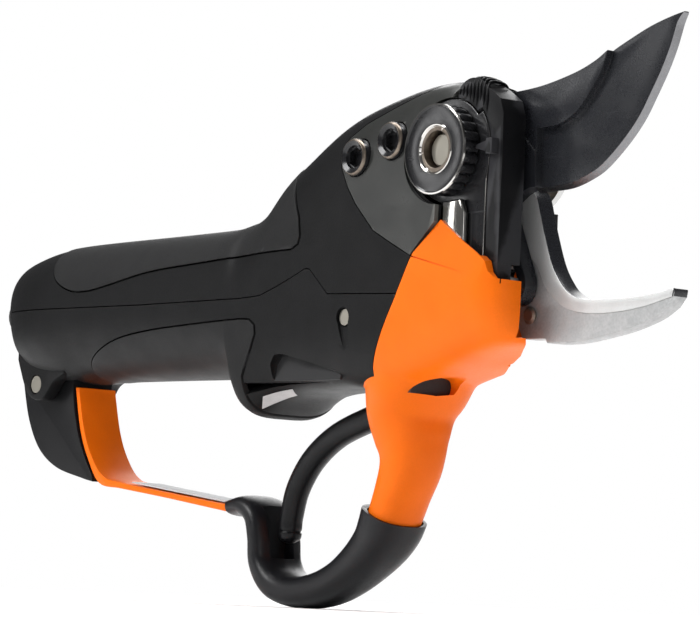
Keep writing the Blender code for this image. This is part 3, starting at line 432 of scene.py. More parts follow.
def sweep(name, keys, steps, count, power=2.0):
    """Section swept along a path in the XZ plane; each key is x, z, half depth in plane, half width in Y."""
    path = smooth_path(keys, steps)
    rings = []
    for i, (x, z, a, b) in enumerate(path):
        before = path[max(i - 1, 0)]
        after = path[min(i + 1, len(path) - 1)]
        along = Vector((after[0] - before[0], after[1] - before[1])).normalized()
        across = Vector((-along.y, along.x))
        rings.append([
            point(x + across.x * u, v, z + across.y * u) for u, v in superellipse(a, b, power, count)
        ])
    return new_object(name, rings_to_bmesh(rings))


def extrusion(name, corners, travel):
    """Flat outline carried along one vector to a closed solid."""
    bm = bmesh.new()
    face = bm.faces.new([bm.verts.new(point(*corner)) for corner in corners])
    moved = bmesh.ops.extrude_face_region(bm, geom=[face])
    verts = [v for v in moved["geom"] if isinstance(v, bmesh.types.BMVert)]
    bmesh.ops.translate(bm, verts=verts, vec=Vector([step * 0.001 for step in travel]))
    return new_object(name, bm)


def prism(name, outline, y0, y1):
    """Outline in the XZ plane carried from y0 to y1."""
    return extrusion(name, [(x, y0, z) for x, z in outline], (0, y1 - y0, 0))


def flat_prism(name, outline, z0, z1):
    """Outline in the XY plane carried from z0 to z1."""
    return extrusion(name, [(x, y, z0) for x, y in outline], (0, 0, z1 - z0))


def end_prism(name, outline, x0, x1):
    """Outline in the YZ plane carried from x0 to x1."""
    return extrusion(name, [(x0, y, z) for y, z in outline], (x1 - x0, 0, 0))


def box(name, x0, x1, y0, y1, z0, z1):
    return prism(name, ((x0, z0), (x1, z0), (x1, z1), (x0, z1)), y0, y1)


def turned(name, profile, origin, axis, steps=64):
    """Solid of revolution: profile of (radius, distance along axis) pairs, closed on itself."""
    bm = bmesh.new()
    verts = [bm.verts.new((r * 0.001, 0, h * 0.001)) for r, h in profile]
    edges = [bm.edges.new((verts[i], verts[(i + 1) % len(verts)])) for i in range(len(verts))]
    keep = [e for e in edges if not (e.verts[0].co.x < 1e-7 and e.verts[1].co.x < 1e-7)]
    bmesh.ops.spin(
        bm, geom=keep + verts, cent=(0, 0, 0), axis=(0, 0, 1),
        angle=2 * math.pi, steps=steps, use_merge=True,
    )
    bmesh.ops.remove_doubles(bm, verts=bm.verts, dist=1e-6)
    loose = [e for e in bm.edges if not e.link_faces]
    bmesh.ops.delete(bm, geom=loose, context="EDGES")
    turn = Vector((0, 0, 1)).rotation_difference(Vector(axis)).to_matrix().to_4x4()
    bmesh.ops.transform(bm, matrix=Matrix.Translation(point(*origin)) @ turn, verts=bm.verts)
    return new_object(name, bm)


def rod(name, r, origin, axis, start, end, steps=48, r_end=None):
    bm = bmesh.new()
    bmesh.ops.create_cone(
        bm, cap_ends=True, segments=steps, radius1=r * 0.001,
        radius2=(r if r_end is None else r_end) * 0.001, depth=(end - start) * 0.001)
    bmesh.ops.translate(bm, verts=bm.verts, vec=Vector((0, 0, (start + end) * 0.0005)))
    turn = Vector((0, 0, 1)).rotation_difference(Vector(axis)).to_matrix().to_4x4()
    bmesh.ops.transform(bm, matrix=Matrix.Translation(point(*origin)) @ turn, verts=bm.verts)
    return new_object(name, bm)


def settle(obj):
    """Replace the mesh by the result of its modifiers."""
    graph = bpy.context.evaluated_depsgraph_get()
    mesh = bpy.data.meshes.new_from_object(obj.evaluated_get(graph))
    obj.modifiers.clear()
    obj.data = mesh
    return obj


def combine(obj, tools, operation):
    """Boolean of obj with each tool in turn; the tools are used up."""
    for tool in tools:
        mod = obj.modifiers.new(operation.lower(), "BOOLEAN")
        mod.operation = operation
        mod.solver = "EXACT"
        mod.object = tool
        settle(obj)
        bpy.data.objects.remove(tool)
    return obj


def soften(obj, width, segments=2, angle=35):
    """Rounded edges, with shading that stays flat beside them."""
    mod = obj.modifiers.new("bevel", "BEVEL")
    mod.width = width * 0.001
    mod.segments = segments
    mod.limit_method = "ANGLE"
    mod.angle_limit = math.radians(angle)
    mod.harden_normals = False
    return settle(obj)


def melt(obj, voxel, rounds):
    """Blend a union of solids into one moulded skin."""
    mod = obj.modifiers.new("voxels", "REMESH")
    mod.mode = "VOXEL"
    mod.voxel_size = voxel * 0.001
    settle(obj)
    mod = obj.modifiers.new("smooth", "SMOOTH")
    mod.factor = 0.5
    mod.iterations = rounds
    return settle(obj)


def finish(obj, name, mat, body, *nodes, sharp=32):
    """Name and paint a piece, and let it ride on its body in place of its CAD nodes."""
    obj.name = name
    obj.data.materials.clear()
    obj.data.materials.append(mat)
    for poly in obj.data.polygons:
        poly.material_index = 0
    obj.data.shade_smooth()
    obj.data.set_sharp_from_angle(angle=math.radians(sharp))
    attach(obj, body)
    if nodes:
        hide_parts(*nodes)
    return obj


def paint_faces(obj, mat, wanted):
    """Give the faces that wanted(centre, normal) picks another material; centre is in tool millimetres."""
    obj.data.materials.append(mat)
    slot = len(obj.data.materials) - 1
    for poly in obj.data.polygons:
        if wanted(poly.center * 1000 - SHIFT, poly.normal):
            poly.material_index = slot


# ------------------------------------------------------------------------------------------------- casing

TOP_PAD = smooth_path((
    (-181, -4), (-180.6, -14.0), (-179.2, -20.0), (-174.5, -26.0), (-166, -29.6), (-157, -30.2),
    (-146, -28.8), (-127, -25.8), (-103, -24.3), (-78, -23.2), (-60, -22.8),
), 6) + [
    (-57.4, -21.6), (-56.6, -19.6), (-57.6, -14.6), (-62, -7), (-67.0, 1.0), (-73.6, 14), (-76, 26),
    (-181, 26),
]
LOW_PAD = smooth_path((
    (-166, -62), (-164.4, -56.0), (-158, -50.4), (-144, -45.6), (-127, -43.4), (-103, -42.2),
    (-82, -41.6),
), 6) + [
    (-77.6, -41.8), (-75.2, -43.4), (-75.0, -45.6), (-76.8, -49.5), (-81.4, -57.2), (-83.2, -80),
    (-166, -80),
]


def grown(obj, grow):
    """Push the rim of an outline prism outwards by a clearance."""
    bm = bmesh.new()
    bm.from_mesh(obj.data)
    shift = {}
    for v in bm.verts:
        n = Vector((0, 0, 0))
        for f in v.link_faces:
            if abs(f.normal.y) < 0.5:
                n += f.normal
        shift[v] = n.normalized() * grow * 0.001
    for v, d in shift.items():
        v.co += d
    bm.to_mesh(obj.data)
    bm.free()
    return obj


def inlay_recess(outline, grow, y_limits=None):
    """Body that cuts the seat of a panel: the skin down to the panel's depth, inside its outline."""
    recess = body_stations("recess", -3.0, BODY_X, RING)
    combine(recess, [body_stations("under", PANEL + GAP, BODY_X, RING)], "DIFFERENCE")
    combine(recess, [grown(prism("window", outline, -40, 40), grow)], "INTERSECT")
    if y_limits:
        combine(recess, [box("half", -300, 100, *y_limits, -200, 100)], "INTERSECT")
    return recess


def inlay(outline, y_limits=None, inset=0.0):
    """Panel that lies flush in the casing."""
    sheet = body_stations("sheet", inset, BODY_X, RING)
    combine(sheet, [body_stations("under", PANEL, BODY_X, RING)], "DIFFERENCE")
    combine(sheet, [prism("window", outline, -40, 40)], "INTERSECT")
    if y_limits:
        combine(sheet, [box("half", -300, 100, *y_limits, -200, 100)], "INTERSECT")
    return sheet


def casing_half(name, region):
    outer = body_stations(name, 0.0, BODY_X, RING)
    combine(outer, [body_stations("inner", WALL, INNER_X, 32)], "DIFFERENCE")
    combine(outer, [prism("region", region, -40, 40)], "INTERSECT")
    return outer


def upper_casing():
    region = (
        shifted(SEAM, 0, 0.15) + [(-15.1, -36.85)] + shifted(COVER_EDGE[4:], -0.25, 0.1)
        + [(4.6, -18.4), (4.6, -13.0), (15.6, -9.0), (17.0, 0.0), (15.0, 9.0), (9.0, 12.4), (0.6, 13.8),
           (-1.6, 15.9), (-2.6, 60), (-226, 60)]
    )
    upper = casing_half("upper", region)
    combine(upper, [
        rod("pocket", POCKET_R, (0, 0, 0), (0, 1, 0), -30, -12.6, 72),
        rod("pocket", POCKET_R, (0, 0, 0), (0, 1, 0), 12.6, 30, 72),
        box("latch_room", 1.6, 40, -30, -7.0, -17.6, 60),
        box("plate_room", -1.4, 40, -30, -7.0, -40, -9.0),
        inlay_recess(TOP_PAD, PAD_GROOVE),
        inlay_recess(PLATE_EDGE, GAP, (-40, -10)),
        inlay_recess(PLATE_EDGE, GAP, (10, 40)),
        rod("socket", 6.2, (0, 0, -34.6), (1, 0, 0), -230, -205, 48),
    ], "DIFFERENCE")
    for x, z in HEAD_SCREWS:
        combine(upper, [
            rod("seat", 5.3, (x, 0, z), (0, 1, 0), -30, -15.3, 48),
            rod("hole", 2.6, (x, 0, z), (0, 1, 0), -30, 30, 32),
            rod("seat", 5.4, (x, 0, z), (0, 1, 0), 15.5, 30, 48),
        ], "DIFFERENCE")
    combine(upper, [box("far_corner", 6.0, 40, 7.0, 41, -25, -3.0)], "DIFFERENCE")
    notch = prism("notch", ((-218, -33.4), (-210.4, -34.4), (-218, -35.4)), -30, 30)
    combine(upper, [notch], "DIFFERENCE")
    return finish(upper, "upper_shell", casing_black, "frame_body", "upper_casing")


def lower_casing():
    region = (
        shifted(SEAM, 0, -0.15) + [(-15.3, -37.15)]
        + [(x - 0.25, z + 0.1) for x, z in reversed(COVER_EDGE[:4])] + [(-29.2, -90), (-226, -90)]
    )
    lower = casing_half("lower", region)
    lug = smooth_path((
        (-201, -49), (-199.6, -52.0), (-196.6, -57.5), (-192.6, -61.0), (-187.6, -61.4),
        (-184.2, -58.9), (-181.4, -56.0), (-176, -53.8),
    ), 5) + [(-176, -50), (-184, -47), (-201, -46)]
    for y0, y1 in ((-12.6, -8.1), (8.1, 12.6)):
        combine(lower, [soften(prism("lug", lug, y0, y1), 0.6, 2, 50)], "UNION")
    screw_at = (-190.6, 0, -56.8)
    combine(lower, [
        box("slot", -206.4, -175.6, -7.9, 7.9, -66, -49.0),
        rod("bore", 1.8, screw_at, (0, 1, 0), -20, 20, 24),
        rod("seat", 2.9, screw_at, (0, 1, 0), -20, -10.6, 32),
        inlay_recess(LOW_PAD, PAD_GROOVE),
        rod("socket", 6.2, (0, 0, -34.6), (1, 0, 0), -230, -205, 48),
        prism("notch", ((-218, -33.4), (-210.4, -34.4), (-218, -35.4)), -30, 30),
        rod("screw_hole", 2.6, (-37.0, 0, -42.4), (0, 1, 0), -30, -13.0, 32),
        screw_groove(),
        finger_recess(),
        lower_facet(-1),
        lower_facet(1),
    ], "DIFFERENCE")
    return finish(lower, "lower_shell", casing_black, "frame_body", "lower_casing")


def screw_groove():
    """Tapered groove that lets a driver reach the casing screw from below."""
    outline = ((-39.4, -42.6), (-34.6, -42.6), (-35.2, -50.0), (-36.2, -53.4), (-37.4, -50.4))
    groove = prism("groove", outline, -30, -18.2)
    return soften(groove, 0.5, 2)


FINGER_RECESS = (
    (-70.4, -58.6), (-69.4, -54.0), (-67.2, -51.6), (-64.0, -51.4), (-54, -53.6), (-43.4, -56.4),
    (-41.4, -57.6), (-41.8, -58.8),
)


def finger_recess():
    """Three-cornered hollow above the lower edge of the casing."""
    backing = prism("backing", FINGER_RECESS, -15.3, -14.5)
    finish(backing, "recess_backing", casing_black, "frame_body")
    return soften(prism("hollow", FINGER_RECESS, -30, -15.2), 0.7, 2)


def lower_facet(side):
    """Slanted flat along a lower edge of the bulge; the right one carries the label."""
    outline = ((side * 30.2, -74.4), (side * 12.4, -59.0), (side * 30.2, -59.0))
    return end_prism("facet", outline, -100, -50)


def grips():
    """Soft panels, standing a little proud of the casing with rounded rims."""
    pads = ((TOP_PAD, "grip_top", "grip_pad_top"), (LOW_PAD, "grip_bottom", "grip_pad_bottom"))
    for outline, name, cad_node in pads:
        pad = soften(inlay(outline, inset=-PAD_RISE), 0.7, 3, 50)
        finish(pad, name, grip_black, "frame_body", cad_node)


def side_plates():
    for side, name in ((-1, "side_plate_right"), (1, "side_plate_left")):
        limits = (-40, -10) if side < 0 else (10, 40)
        plate = inlay(PLATE_EDGE, limits)
        start = min(side * 30, 0)
        end = max(side * 30, 0)
        combine(plate, [rod("pocket", POCKET_R + 0.1, (0, 0, 0), (0, 1, 0), start, end, 72)], "DIFFERENCE")
        for x, z in HEAD_SCREWS:
            combine(plate, [rod("hole", HEAD_HOLE_R, (x, 0, z), (0, 1, 0), start, end, 48)], "DIFFERENCE")
        finish(plate, name.replace("side_plate", "plate"), plate_satin, "frame_body", name)


# -------------------------------------------------------------------------------------------- front cover


VENT = smooth_path((
    (-10.9, -62.4), (-10.3, -60.9), (-8.4, -59.2), (-5.4, -58.3), (-1.0, -57.9), (2.4, -58.4),
    (3.2, -60.4), (2.6, -62.2),
), 4) + [(-3.0, -62.9)]


def front_cover():
    """Nose and column as one moulding, with the flat upper facet, the vent and the openings."""
    nose_x = [x for x in BODY_X if x > -64]
    solid = body_stations("cover", 0.0, nose_x, RING)
    column = sweep("column", (
        (-23.0, -49.0, 14.0, 16.6), (-27.3, -60.0, 11.6, 15.2), (-29.4, -66.7, 10.4, 12.8),
        (-28.9, -73.7, 9.5, 10.2), (-28.4, -78.0, 8.3, 9.0), (-29.1, -82.4, 7.5, 8.5),
        (-31.8, -88.6, 6.7, 8.0), (-34.6, -95.0, 6.3, 7.8), (-36.3, -98.9, 6.1, 7.6),
    ), 8, 48, 2.3)
    combine(column, [box("top", -60, 20, -30, 30, -52, -20)], "DIFFERENCE")
    combine(solid, [column], "UNION")
    melt(solid, 0.9, 7)
    behind = [(-226, -38.0), (-15.6, -38.0)] + list(reversed(COVER_EDGE[:4])) + [(-29, -90), (-226, -90)]
    keep_out = body_stations("keep_out", -GAP, nose_x, RING)
    combine(keep_out, [prism("region", behind, -40, 40)], "INTERSECT")
    above = [(-70, -62.0)] + list(COVER_EDGE[1:]) + list(COVER_FRONT) + [(60, -36), (60, 60), (-70, 60)]
    combine(solid, [prism("above", above, -40, 40)], "DIFFERENCE")
    combine(solid, [keep_out], "DIFFERENCE")
    inner = body_stations("inner", WALL, INNER_X, 32)
    combine(inner, [box("front", -60, 20.8, -40, 40, -100, 60)], "INTERSECT")
    combine(solid, [
        crease_slab(),
        inner,
        sweep("hollow", (
            (-24, -48, 10.5, 13.0), (-28.0, -60.5, 8.6, 11.6), (-29.3, -66, 7.6, 9.6),
            (-29.2, -72.5, 6.6, 7.6),
        ), 4, 32, 2.3),
        box("blade_slot", -12, 40, -7.2, 4.4, -49.3, 20),
        box("trigger_slot", -60, -30, -4.3, 4.3, -73.4, -60.4),
        box("far_clear", 3.5, 40, 4.2, 41, -61, 20),
        box("latch_room", 13.4, 21.9, -15.7, -6.9, -35.6, 0),
        box("eye_room", 13.6, 20.6, -15.5, -9.6, -42.2, -34),
        box("plate_room", -1.2, 16.2, -17.75, -12.8, -34.2, -10),
        box("front_slot", 19.4, 40, -10.3, 4.5, -49.1, 20),
        flat_prism("far_corner", (
            (26, -10.1), (22, -6.2), (12, 1.2), (2, 6.1), (-8, 13), (-20, 21), (-20, 41), (41, 41),
            (41, -10.1),
        ), -81, -46.3),
        end_prism("vent", VENT, -30, -4),
        prism("crease", ((-9.6, -27.2), (20.6, -34.8), (20.5, -35.15), (-9.7, -27.5)), -30, -18.75),
    ], "DIFFERENCE")
    # The dark slab set in the vent is painted shade, standing in for the shade inside the vent opening.
    finish(end_prism("painted_shade_slab", VENT, -20.5, -17.4), "vent_painted_shade_slab", vent_painted_shade, "frame_body")
    return finish(solid, "cover", orange, "frame_body", "front_cover", sharp=28)


def crease_slab():
    """Block beyond the plane that planes off the upper corner of the cover above the crease line."""
    a = point(-9.0, -19.2, -26.8)
    b = point(18.0, -18.6, -34.4)
    c = point(0.5, -18.15, -18.3)
    normal = (b - a).cross(c - a).normalized()
    if normal.y > 0:
        normal = -normal
    bm = bmesh.new()
    bmesh.ops.create_cube(bm, size=0.04)
    bmesh.ops.translate(bm, verts=bm.verts, vec=(0, 0, 0.02))
    turn = Vector((0, 0, 1)).rotation_difference(normal).to_matrix().to_4x4()
    bmesh.ops.transform(bm, matrix=Matrix.Translation(a + (b - a) * 0.5) @ turn, verts=bm.verts)
    return new_object("slab", bm)


# ---------------------------------------------------------------------------------------- guard, trigger


def guard():
    ring = sweep("ring", (
        (-34.9, -94.6, 7.6, 9.1), (-36.6, -98.2, 7.3, 8.9), (-39.9, -102.4, 6.5, 8.4),
        (-46.1, -107.3, 5.6, 7.9), (-53.9, -111.8, 5.0, 7.6), (-63.0, -115.0, 4.8, 7.6),
        (-73.0, -116.1, 4.4, 8.0), (-81.0, -114.0, 4.4, 8.3), (-85.9, -108.4, 4.0, 8.5),
        (-87.0, -101.4, 3.7, 8.6), (-89.2, -95.4, 3.6, 8.5), (-94.2, -92.6, 3.2, 8.3),
        (-99.8, -92.9, 2.6, 8.0),
    ), 8, 56, 2.6)
    socket = sweep("socket", (
        (-32.0, -89.6, 7.1, 8.5), (-34.6, -95.0, 6.65, 8.15), (-36.5, -99.4, 6.5, 8.0),
    ), 4, 48, 2.3)
    combine(ring, [
        socket,
        box("tongue_room", -101.5, -94.2, -4.9, 4.9, -94.0, -92.3),
        box("trigger_groove", -87.2, -76, -4.2, 4.2, -107, -80),
    ], "DIFFERENCE")
    soften(ring, 0.45, 3, 40)
    finish(ring, "rubber_ring", rubber_black, "frame_body", "finger_ring")
    strip_inner = smooth_path((
        (-176.0, -57.6), (-175.4, -60.5), (-172.4, -70.5), (-168.2, -78.0), (-161.9, -84.0),
        (-152, -86.2), (-109.7, -91.3), (-100.2, -92.2),
    ), 8)
    strip_outer = smooth_path((
        (-100.2, -94.3), (-131.5, -90.3), (-152, -87.9), (-163.4, -86.3), (-169.9, -78.9),
        (-174.2, -70.9), (-177.1, -60.5), (-177.8, -57.6),
    ), 8)
    strip = prism("strip", strip_inner + strip_outer, -6.7, 6.7)
    combine(strip, [box("tongue", -101.0, -94.6, -4.6, 4.6, -93.7, -92.6)], "UNION")
    soften(strip, 0.3, 2, 50)
    finish(strip, "orange_strip", orange, "frame_body", "guard_strip")
    arm_outer = smooth_path((
        (-206.0, -51.4), (-204.9, -56.3), (-201.3, -67.1), (-195.1, -76.0), (-185.6, -81.6),
        (-172.2, -84.8), (-166.2, -85.9),
    ), 8)
    arm_inner = smooth_path((
        (-166.6, -84.4), (-171.2, -78.2), (-175.2, -70.6), (-178.1, -60.4), (-178.7, -51.4),
    ), 8)
    arm = prism("arm", arm_outer + arm_inner, -7.2, 7.2)
    soften(arm, 1.8, 4, 40)
    combine(arm, [rod("bore", 1.8, (-190.6, 0, -56.8), (0, 1, 0), -20, 20, 24)], "DIFFERENCE")
    finish(arm, "rear_arm", arm_black, "frame_body", "guard_arm")


def trigger():
    """Curved lever with a round section, a beaded end, hub and magnet ear."""
    tx, tz = -30.0, -66.0
    lever = sweep("lever", (
        (tx - 1.5, tz - 0.2, 3.0, 3.2), (-38.4, -66.6, 3.3, 3.3), (-46.4, -68.4, 3.5, 3.5),
        (-60.2, -72.9, 3.5, 3.5), (-70.4, -79.4, 3.5, 3.5), (-76.8, -87.4, 3.4, 3.4),
        (-79.2, -95.0, 3.25, 3.25), (-79.6, -98.6, 3.2, 3.2), (-79.6, -99.4, 2.9, 2.9),
        (-79.6, -100.0, 3.2, 3.2), (-79.5, -101.6, 2.8, 2.8), (-79.4, -102.6, 1.2, 1.2),
    ), 8, 40)
    combine(lever, [rod("hub", 4.4, (tx, 0, tz), (0, 1, 0), -3.7, 3.7, 40)], "UNION")
    combine(lever, [box("ear", tx + 1.0, tx + 7.2, -2.4, 2.4, tz - 0.5, tz + 2.6)], "UNION")
    combine(lever, [rod("bore", 1.8, (tx, 0, tz), (0, 1, 0), -6, 6, 24)], "DIFFERENCE")
    finish(lever, "trigger_lever", latch_black, "trigger_body", "trigger")


# --------------------------------------------------------------------------------------------- cutting head

BLADE_NEAR = -6.2
BLADE_FAR = -2.0
GRIND_NEAR = -3.7
HOOK_NEAR = -1.8
HOOK_FAR = 3.5
ARM_ANGLE = math.radians(24.0)
SPINE = smooth_path((
    (9.0, 15.6), (16.2, 15.7), (25.3, 16.5), (36.5, 18.7), (43.7, 21.1), (48.6, 23.6), (54.4, 25.9),
    (61.2, 28.3), (68.0, 30.0), (73.2, 30.9),
), 6)
CUTTING_EDGE = smooth_path((
    (73.2, 30.9), (71.7, 28.0), (69.5, 22.2), (66.6, 16.5), (63.0, 10.8), (59.0, 5.0), (53.5, -0.6),
    (46.2, -6.2), (40.4, -8.8), (33.8, -10.5), (26.4, -10.9), (21.0, -11.1),
), 6)
EDGE_WIDTH = 1.15


def inside_line(line, distance):
    """The line moved to its left by a distance, tapering to nothing at the first point."""
    out = []
    for i, (x, z) in enumerate(line):
        before = line[max(i - 1, 0)]
        after = line[min(i + 1, len(line) - 1)]
        along = Vector((after[0] - before[0], after[1] - before[1])).normalized()
        reach = distance * min(1.0, i / 6)
        out.append((x + along.y * reach, z - along.x * reach))
    return out


def blade():
    """Coated blade with root, hollow-ground areas and lever arm, and its bright sharpened edge."""
    inner_edge = inside_line(CUTTING_EDGE, EDGE_WIDTH)
    ca = math.sin(ARM_ANGLE)
    sa = -math.cos(ARM_ANGLE)
    outline = SPINE[:-1] + inner_edge + [(17.0, -11.3), (ca * 18 + 0.914 * 5.4, sa * 18 + 0.407 * 5.4)]
    outline += arc(ca * 38.2, sa * 38.2, 5.4, 24, -156, 20)
    outline += arc(0, 0, 15.5, -88, -275, 60)
    body = prism("body", outline, BLADE_NEAR, BLADE_FAR)
    slot = arc(ca * 39.6, sa * 39.6, 2.6, -156, 24, 12) + arc(ca * 35.6, sa * 35.6, 2.6, 24, 204, 12)
    upper_area = smooth_path((
        (13.6, 24.0), (13.8, 17.0), (14.3, 10.2), (17.7, 4.2), (23.0, -0.9),
    ), 6) + [(23.4, 5.4), (60, 5.4), (60, 40), (13.6, 40)]
    ground_area = smooth_path((
        (22.6, 5.7), (29.4, 5.6), (36.8, 8.4), (42.4, 13.8), (46.9, 20.2), (50.0, 30.0),
    ), 6) + [(100, 40), (100, -40), (24, -40), (23.5, -12), (23.0, -1.0)]
    combine(body, [
        prism("slot", slot, -12, 4),
        rod("bore", BOLT_R + 0.3, (0, 0, 0), (0, 1, 0), -12, 4, 48),
        prism("upper_area", upper_area, -20, BLADE_NEAR + 0.5),
        prism("ground_area", ground_area, -20, GRIND_NEAR),
    ], "DIFFERENCE")
    soften(body, 0.3, 3, 40)
    finish(body, "blade_body_skin", coat_and_painted_shade, "blade_body", "blade")
    rings = []
    for (x0, z0), (x1, z1) in zip(inner_edge, CUTTING_EDGE):
        rings.append([
            point(x0, GRIND_NEAR + 0.05, z0), point(x1, BLADE_FAR - 0.12, z1), point(x1, BLADE_FAR, z1),
            point(x0, BLADE_FAR, z0)])
    edge = new_object("edge", rings_to_bmesh(rings[1:]))
    finish(edge, "sharpened_edge", edge_steel, "blade_body")


def hook():
    """Cast counter-blade with its ground contact band, dark inner side and a tip end painted dark as painted
    shade.
    """
    top_edge = smooth_path((
        (16.6, -9.0), (19.2, -11.8), (20.8, -16.1), (22.8, -21.9), (25.8, -29.3), (29.0, -34.0),
        (32.4, -37.1), (37.4, -39.1), (45.5, -39.5), (53.5, -39.5), (61.4, -39.0), (66.4, -38.4),
        (70.6, -37.6),
    ), 5)
    low_edge = smooth_path((
        (68.0, -42.0), (62.5, -44.8), (54.0, -47.2), (45.4, -48.7), (36.7, -49.8), (29.8, -50.1),
        (24.6, -49.9),
    ), 5) + [(24.0, -48.8), (15.2, -48.6), (12.8, -44.0), (12.6, -36.0), (11.6, -28.0), (4.0, -17.0)]
    tang = arc(0, 0, 14.5, -100, -150, 10) + [
        (-18, -5.4), (-41.0, -5.4), (-43.2, -3.0), (-43.2, 6.0), (-41.0, 8.4), (-20.0, 10.6),
        (-11, 9.6),
    ] + arc(0, 0, 14.5, 130, -30, 40)
    band_edge = smooth_path((
        (70.0, -39.6), (61.5, -41.5), (53.7, -42.5), (45.7, -42.9), (37.6, -42.5), (31.5, -41.1),
        (27.5, -38.8), (23.5, -35.2), (20.4, -30.1), (17.3, -27.4), (14.0, -25.5), (10.0, -20.0),
        (8.0, -12.0),
    ), 5)
    body = prism("hook", top_edge + [(70.2, -39.6)] + low_edge + tang, HOOK_NEAR + 0.35, HOOK_FAR)
    holes = [(0, 0, BOLT_R + 0.3), (18.4, -42.6, 1.8)] + [(x, z, 2.6) for x, z in HEAD_SCREWS]
    for x, z, r in holes:
        combine(body, [rod("hole", r, (x, 0, z), (0, 1, 0), -12, 8, 48)], "DIFFERENCE")
    soften(body, 0.5, 3, 45)
    finish(body, "hook_casting", cast, "frame_body", "counter_blade")
    band = prism("band", top_edge + band_edge, HOOK_NEAR, HOOK_NEAR + 0.6)
    soften(band, 0.12, 2, 45)
    finish(band, "hook_band", ground, "frame_body")
    # Dark coat on the upward and forward faces of the hook's inner side; on the end face at the tip it is
    # painted shade.
    paint_faces(body, coat_and_painted_shade, lambda at, n: abs(n.y) < 0.6 and (
        (at.x > 15.5 and (n.z > 0.3 or (n.x > 0.2 and at.z > -37))) or at.x > 69.3))
    # The same on the band: dark coat on its inner faces, painted shade on its end face at the tip.
    paint_faces(band, coat_and_painted_shade, lambda at, n: abs(n.y) < 0.6 and (
        (at.x > 15.5 and n.z > -0.2 and (n.x > 0.2 or n.z > 0.3)) or at.x > 70.0))


def pivot():
    """Knurled nut, plates and bar of the blade tension adjuster."""
    lobes = []
    for i in range(240):
        t = 2 * math.pi * i / 240
        r = NUT_R - 0.45 + 0.45 * (abs(math.cos(12 * t)) ** 0.5 * 2 - 1)
        lobes.append((r * math.cos(t), r * math.sin(t)))
    nut = prism("nut", lobes, -20.2, -15.8)
    face = turned("face", (
        (4.9, -20.0), (5.7, -20.0), (6.2, -20.7), (6.5, -20.8), (6.7, -20.55), (9.6, -20.3),
        (11.1, -20.55), (11.5, -21.0), (11.9, -20.9), (11.95, -20.4), (11.3, -19.6), (4.9, -19.6),
    ), (0, 0, 0), (0, 1, 0), 96)
    combine(nut, [rod("bore", 4.9, (0, 0, 0), (0, 1, 0), -30, 0, 48)], "DIFFERENCE")
    soften(nut, 0.15, 2, 30)
    combine(nut, [face], "UNION")
    finish(nut, "nut", dark_plating_and_painted_shade, "pivot_nut_body", "pivot_nut")
    paint_faces(nut, polished, lambda at, n: at.y < -20.45 and (
        math.hypot(at.x, at.z) > 11.3 or 5.8 < math.hypot(at.x, at.z) < 6.75))
    paint_faces(nut, zinc, lambda at, n: math.hypot(at.x, at.z) < 5.2)
    plate = prism("plate", (
        arc(0, 0, PLATE_R, 258, 40, 72) + arc(0, 0, LOBE_R, 38, -12, 24)
        + [(14.6, -8), (14.4, -33.2), (-2.4, -33.2)]
    ), -15.4, -13.4)
    combine(plate, [rod("bore", BOLT_R + 0.3, (0, 0, 0), (0, 1, 0), -30, 0, 48)], "DIFFERENCE")
    soften(plate, 0.25, 3, 40)
    finish(plate, "adjuster_plate", polished, "frame_body", "pivot_plate")
    # The plate's near face around the nut is painted dark: a painted shadow of the nut, with a painted
    # reflection of the nut in the steel.
    paint_faces(plate, dark_plating_and_painted_shade, lambda at, n: n.y < -0.5 and at.z > -9.0)
    bar = prism("bar", (
        (0.2, -13.4), (7.2, -13.0), (8.8, -17.0), (8.8, -32.6), (0.6, -32.6), (0.2, -20)), -17.6, -15.7)
    soften(bar, 0.6, 3, 40)
    finish(bar, "adjuster_bar", polished, "frame_body", "plate_bar")


def head_screws():
    for i, (x, z) in enumerate(HEAD_SCREWS):
        head = turned("head", (
            (0, -19.0), (2.9, -19.0), (3.2, -19.8), (3.9, -20.2), (4.4, -20.4), (4.8, -20.1),
            (5.0, -19.6), (5.0, -15.6), (2.2, -15.6), (2.2, 17.0), (0, 17.0),
        ), (x, 0, z), (0, 1, 0), 64)
        combine(head, [rod("hex", 2.9, (x, 0, z), (0, 1, 0), -21, -17.0, 6)], "DIFFERENCE")
        finish(head, "socket_screw_%d" % (i + 1), zinc, "frame_body", "head_screw_%d" % (i + 1))
        cx, cz = x, z
        paint_faces(head, dark_plating_and_painted_shade, lambda at, n: (
            at.y > -19.75 or 3.25 < math.hypot(at.x - cx, at.z - cz) < 4.35))


